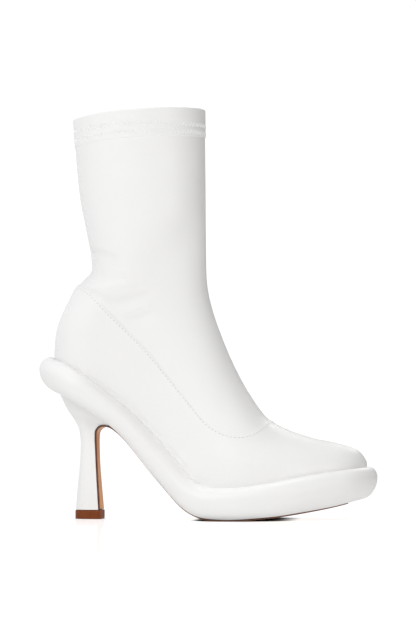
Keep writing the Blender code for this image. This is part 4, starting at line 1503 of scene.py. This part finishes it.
class BOOT_OT_studio(bpy.types.Operator):
    """Set up the camera, the soft lights and the pale floor"""
    bl_idname = "boot.studio"
    bl_label = "Studio"

    def execute(self, context):
        studio = context.scene.boot_studio
        self.add_camera(context.scene, studio)
        for name, row in SOFTBOXES.items():
            self.add_softbox(context.scene, name, dict(zip(SOFTBOX_COLUMNS, row)))
        self.add_floor(context.scene, studio)
        self.light_world(context.scene, studio)
        context.scene.view_settings.view_transform = "Standard"
        return {"FINISHED"}

    def add_camera(self, scene, studio):
        """Place the camera and point it at the boot."""
        camera = bpy.data.objects.new("camera", bpy.data.cameras.new("camera"))
        camera.data.lens = studio.lens
        swing = studio.eye_swing
        camera.location = studio.eye_distance * Vector((math.sin(swing), -math.cos(swing), 0))
        camera.location.z = studio.eye_height
        aim = Vector((studio.aim_along, 0.0, studio.aim_height))
        camera.rotation_euler = (aim - camera.location).to_track_quat("-Z", "Y").to_euler()
        scene.collection.objects.link(camera)
        scene.camera = camera

    def add_softbox(self, scene, name, box):
        """Place one softbox, which faces the boot."""
        light = bpy.data.lights.new(name, "AREA")
        light.size = SOFTBOX_SIZE
        light.energy = getattr(scene.boot_studio, box["power"])
        light.color = getattr(scene.boot_colours, box["tint"])
        turn, height = math.radians(box["turn"]), math.radians(box["height"])
        level = math.cos(height)
        away = Vector((math.sin(turn) * level, -math.cos(turn) * level, math.sin(height)))
        lamp = bpy.data.objects.new(name, light)
        lamp.location = BOOT_MIDDLE + SOFTBOX_DISTANCE * away
        lamp.rotation_euler = (-away).to_track_quat("-Z", "Y").to_euler()
        scene.collection.objects.link(lamp)

    def add_floor(self, scene, studio):
        """Make the floor: white in the picture, with a shadow painted in where the boot closely covers it."""
        angles = np.linspace(0, 2 * math.pi, FLOOR_SIDES, endpoint=False)
        points = FLOOR_RADIUS * np.stack([np.cos(angles), np.sin(angles), np.zeros(FLOOR_SIDES)], axis=1)
        mesh = bpy.data.meshes.new("studio_floor")
        mesh.from_pydata(points.tolist(), [], [tuple(range(FLOOR_SIDES))])
        material, tree, shader = start_material("studio floor")
        eye = place_node(tree, "ShaderNodeLightPath").outputs["Is Camera Ray"]
        sockets = {"Distance": studio.contact_reach}
        openness = place_node(tree, "ShaderNodeAmbientOcclusion", sockets).outputs["AO"]
        clear = ranged(tree, openness, SHADOW_FULL, SHADOW_NONE, 0.0, 1.0)
        # Where the boot closely covers the floor, its colour and its glow in the picture darken: a painted
        # contact shadow.
        white = maths(tree, "MULTIPLY", clear, studio.floor_white)
        feed(tree, shader, {
            "Base Color": mixed(tree, clear, BLACK, opaque(scene.boot_colours.floor)),
            "Roughness": 0.9,
            "Specular IOR Level": 0.0,
            "Coat Weight": ranged(tree, openness, COAT_NONE, COAT_FULL, 0.0, studio.floor_shine),
            "Coat Roughness": 0.09,
            "Emission Color": WHITE,
            "Emission Strength": ranged(tree, eye, 0.0, 1.0, studio.floor_glow, white),
        })
        mesh.materials.append(material)
        floor = bpy.data.objects.new("studio_floor", mesh)
        scene.collection.objects.link(floor)

    def light_world(self, scene, studio):
        """Surround the boot with light that fades towards the toe, and show plain white to the camera."""
        world = bpy.data.worlds.new("studio")
        world.use_nodes = True
        tree = world.node_tree
        tree.nodes.clear()
        towards = place_node(tree, "ShaderNodeTexCoord").outputs["Generated"]
        along_boot = place_node(tree, "ShaderNodeSeparateXYZ", {"Vector": towards}).outputs["X"]
        graded = ranged(tree, along_boot, LIGHT_FULL, LIGHT_NONE, studio.ambient, 0.0)
        cool = opaque(scene.boot_colours.cool_light)
        around, seen = (place_node(tree, "ShaderNodeBackground", {"Color": colour, "Strength": strength})
                        for colour, strength in ((cool, graded), (WHITE, SEEN_WHITE)))
        eye = place_node(tree, "ShaderNodeLightPath").outputs["Is Camera Ray"]
        sockets = {0: eye, 1: around.outputs["Background"], 2: seen.outputs["Background"]}
        both = place_node(tree, "ShaderNodeMixShader", sockets)
        place_node(tree, "ShaderNodeOutputWorld", {"Surface": both.outputs["Shader"]})
        scene.world = world


PIECE_OPERATORS = (BOOT_OT_vamp, BOOT_OT_leg, BOOT_OT_lining, BOOT_OT_platform, BOOT_OT_heel, BOOT_OT_sole,
                   BOOT_OT_footbed, BOOT_OT_stitching)


class BOOT_PT_panel(bpy.types.Panel):
    """Lists the boot's pieces and its studio"""
    bl_idname = "BOOT_PT_panel"
    bl_label = "Ankle boot"
    bl_space_type = "VIEW_3D"
    bl_region_type = "UI"
    bl_category = "Boot"

    def draw(self, context):
        layout = self.layout
        for operator in (*PIECE_OPERATORS, BOOT_OT_studio):
            layout.operator(operator.bl_idname)
        for settings in (context.scene.boot_sizes, context.scene.boot_colours, context.scene.boot_studio):
            box = layout.box()
            for name in settings.bl_rna.properties.keys():
                if name not in ("rna_type", "name"):
                    box.prop(settings, name)


SETTINGS = {"boot_sizes": BootSizes, "boot_colours": BootColours, "boot_studio": BootStudio}
CLASSES = (*SETTINGS.values(), *PIECE_OPERATORS, BOOT_OT_studio, BOOT_PT_panel)


def register():
    """Add the classes and the scene's settings."""
    for cls in CLASSES:
        bpy.utils.register_class(cls)
    for name, group in SETTINGS.items():
        setattr(bpy.types.Scene, name, PointerProperty(type=group))


def unregister():
    """Take the classes and the scene's settings away again."""
    for name in SETTINGS:
        delattr(bpy.types.Scene, name)
    for cls in reversed(CLASSES):
        bpy.utils.unregister_class(cls)


def main():
    """Make the whole boot and its studio."""
    register()
    for operator in (*PIECE_OPERATORS, BOOT_OT_studio):
        group, name = operator.bl_idname.split(".")
        getattr(getattr(bpy.ops, group), name)()


if __name__ == "__main__":
    main()
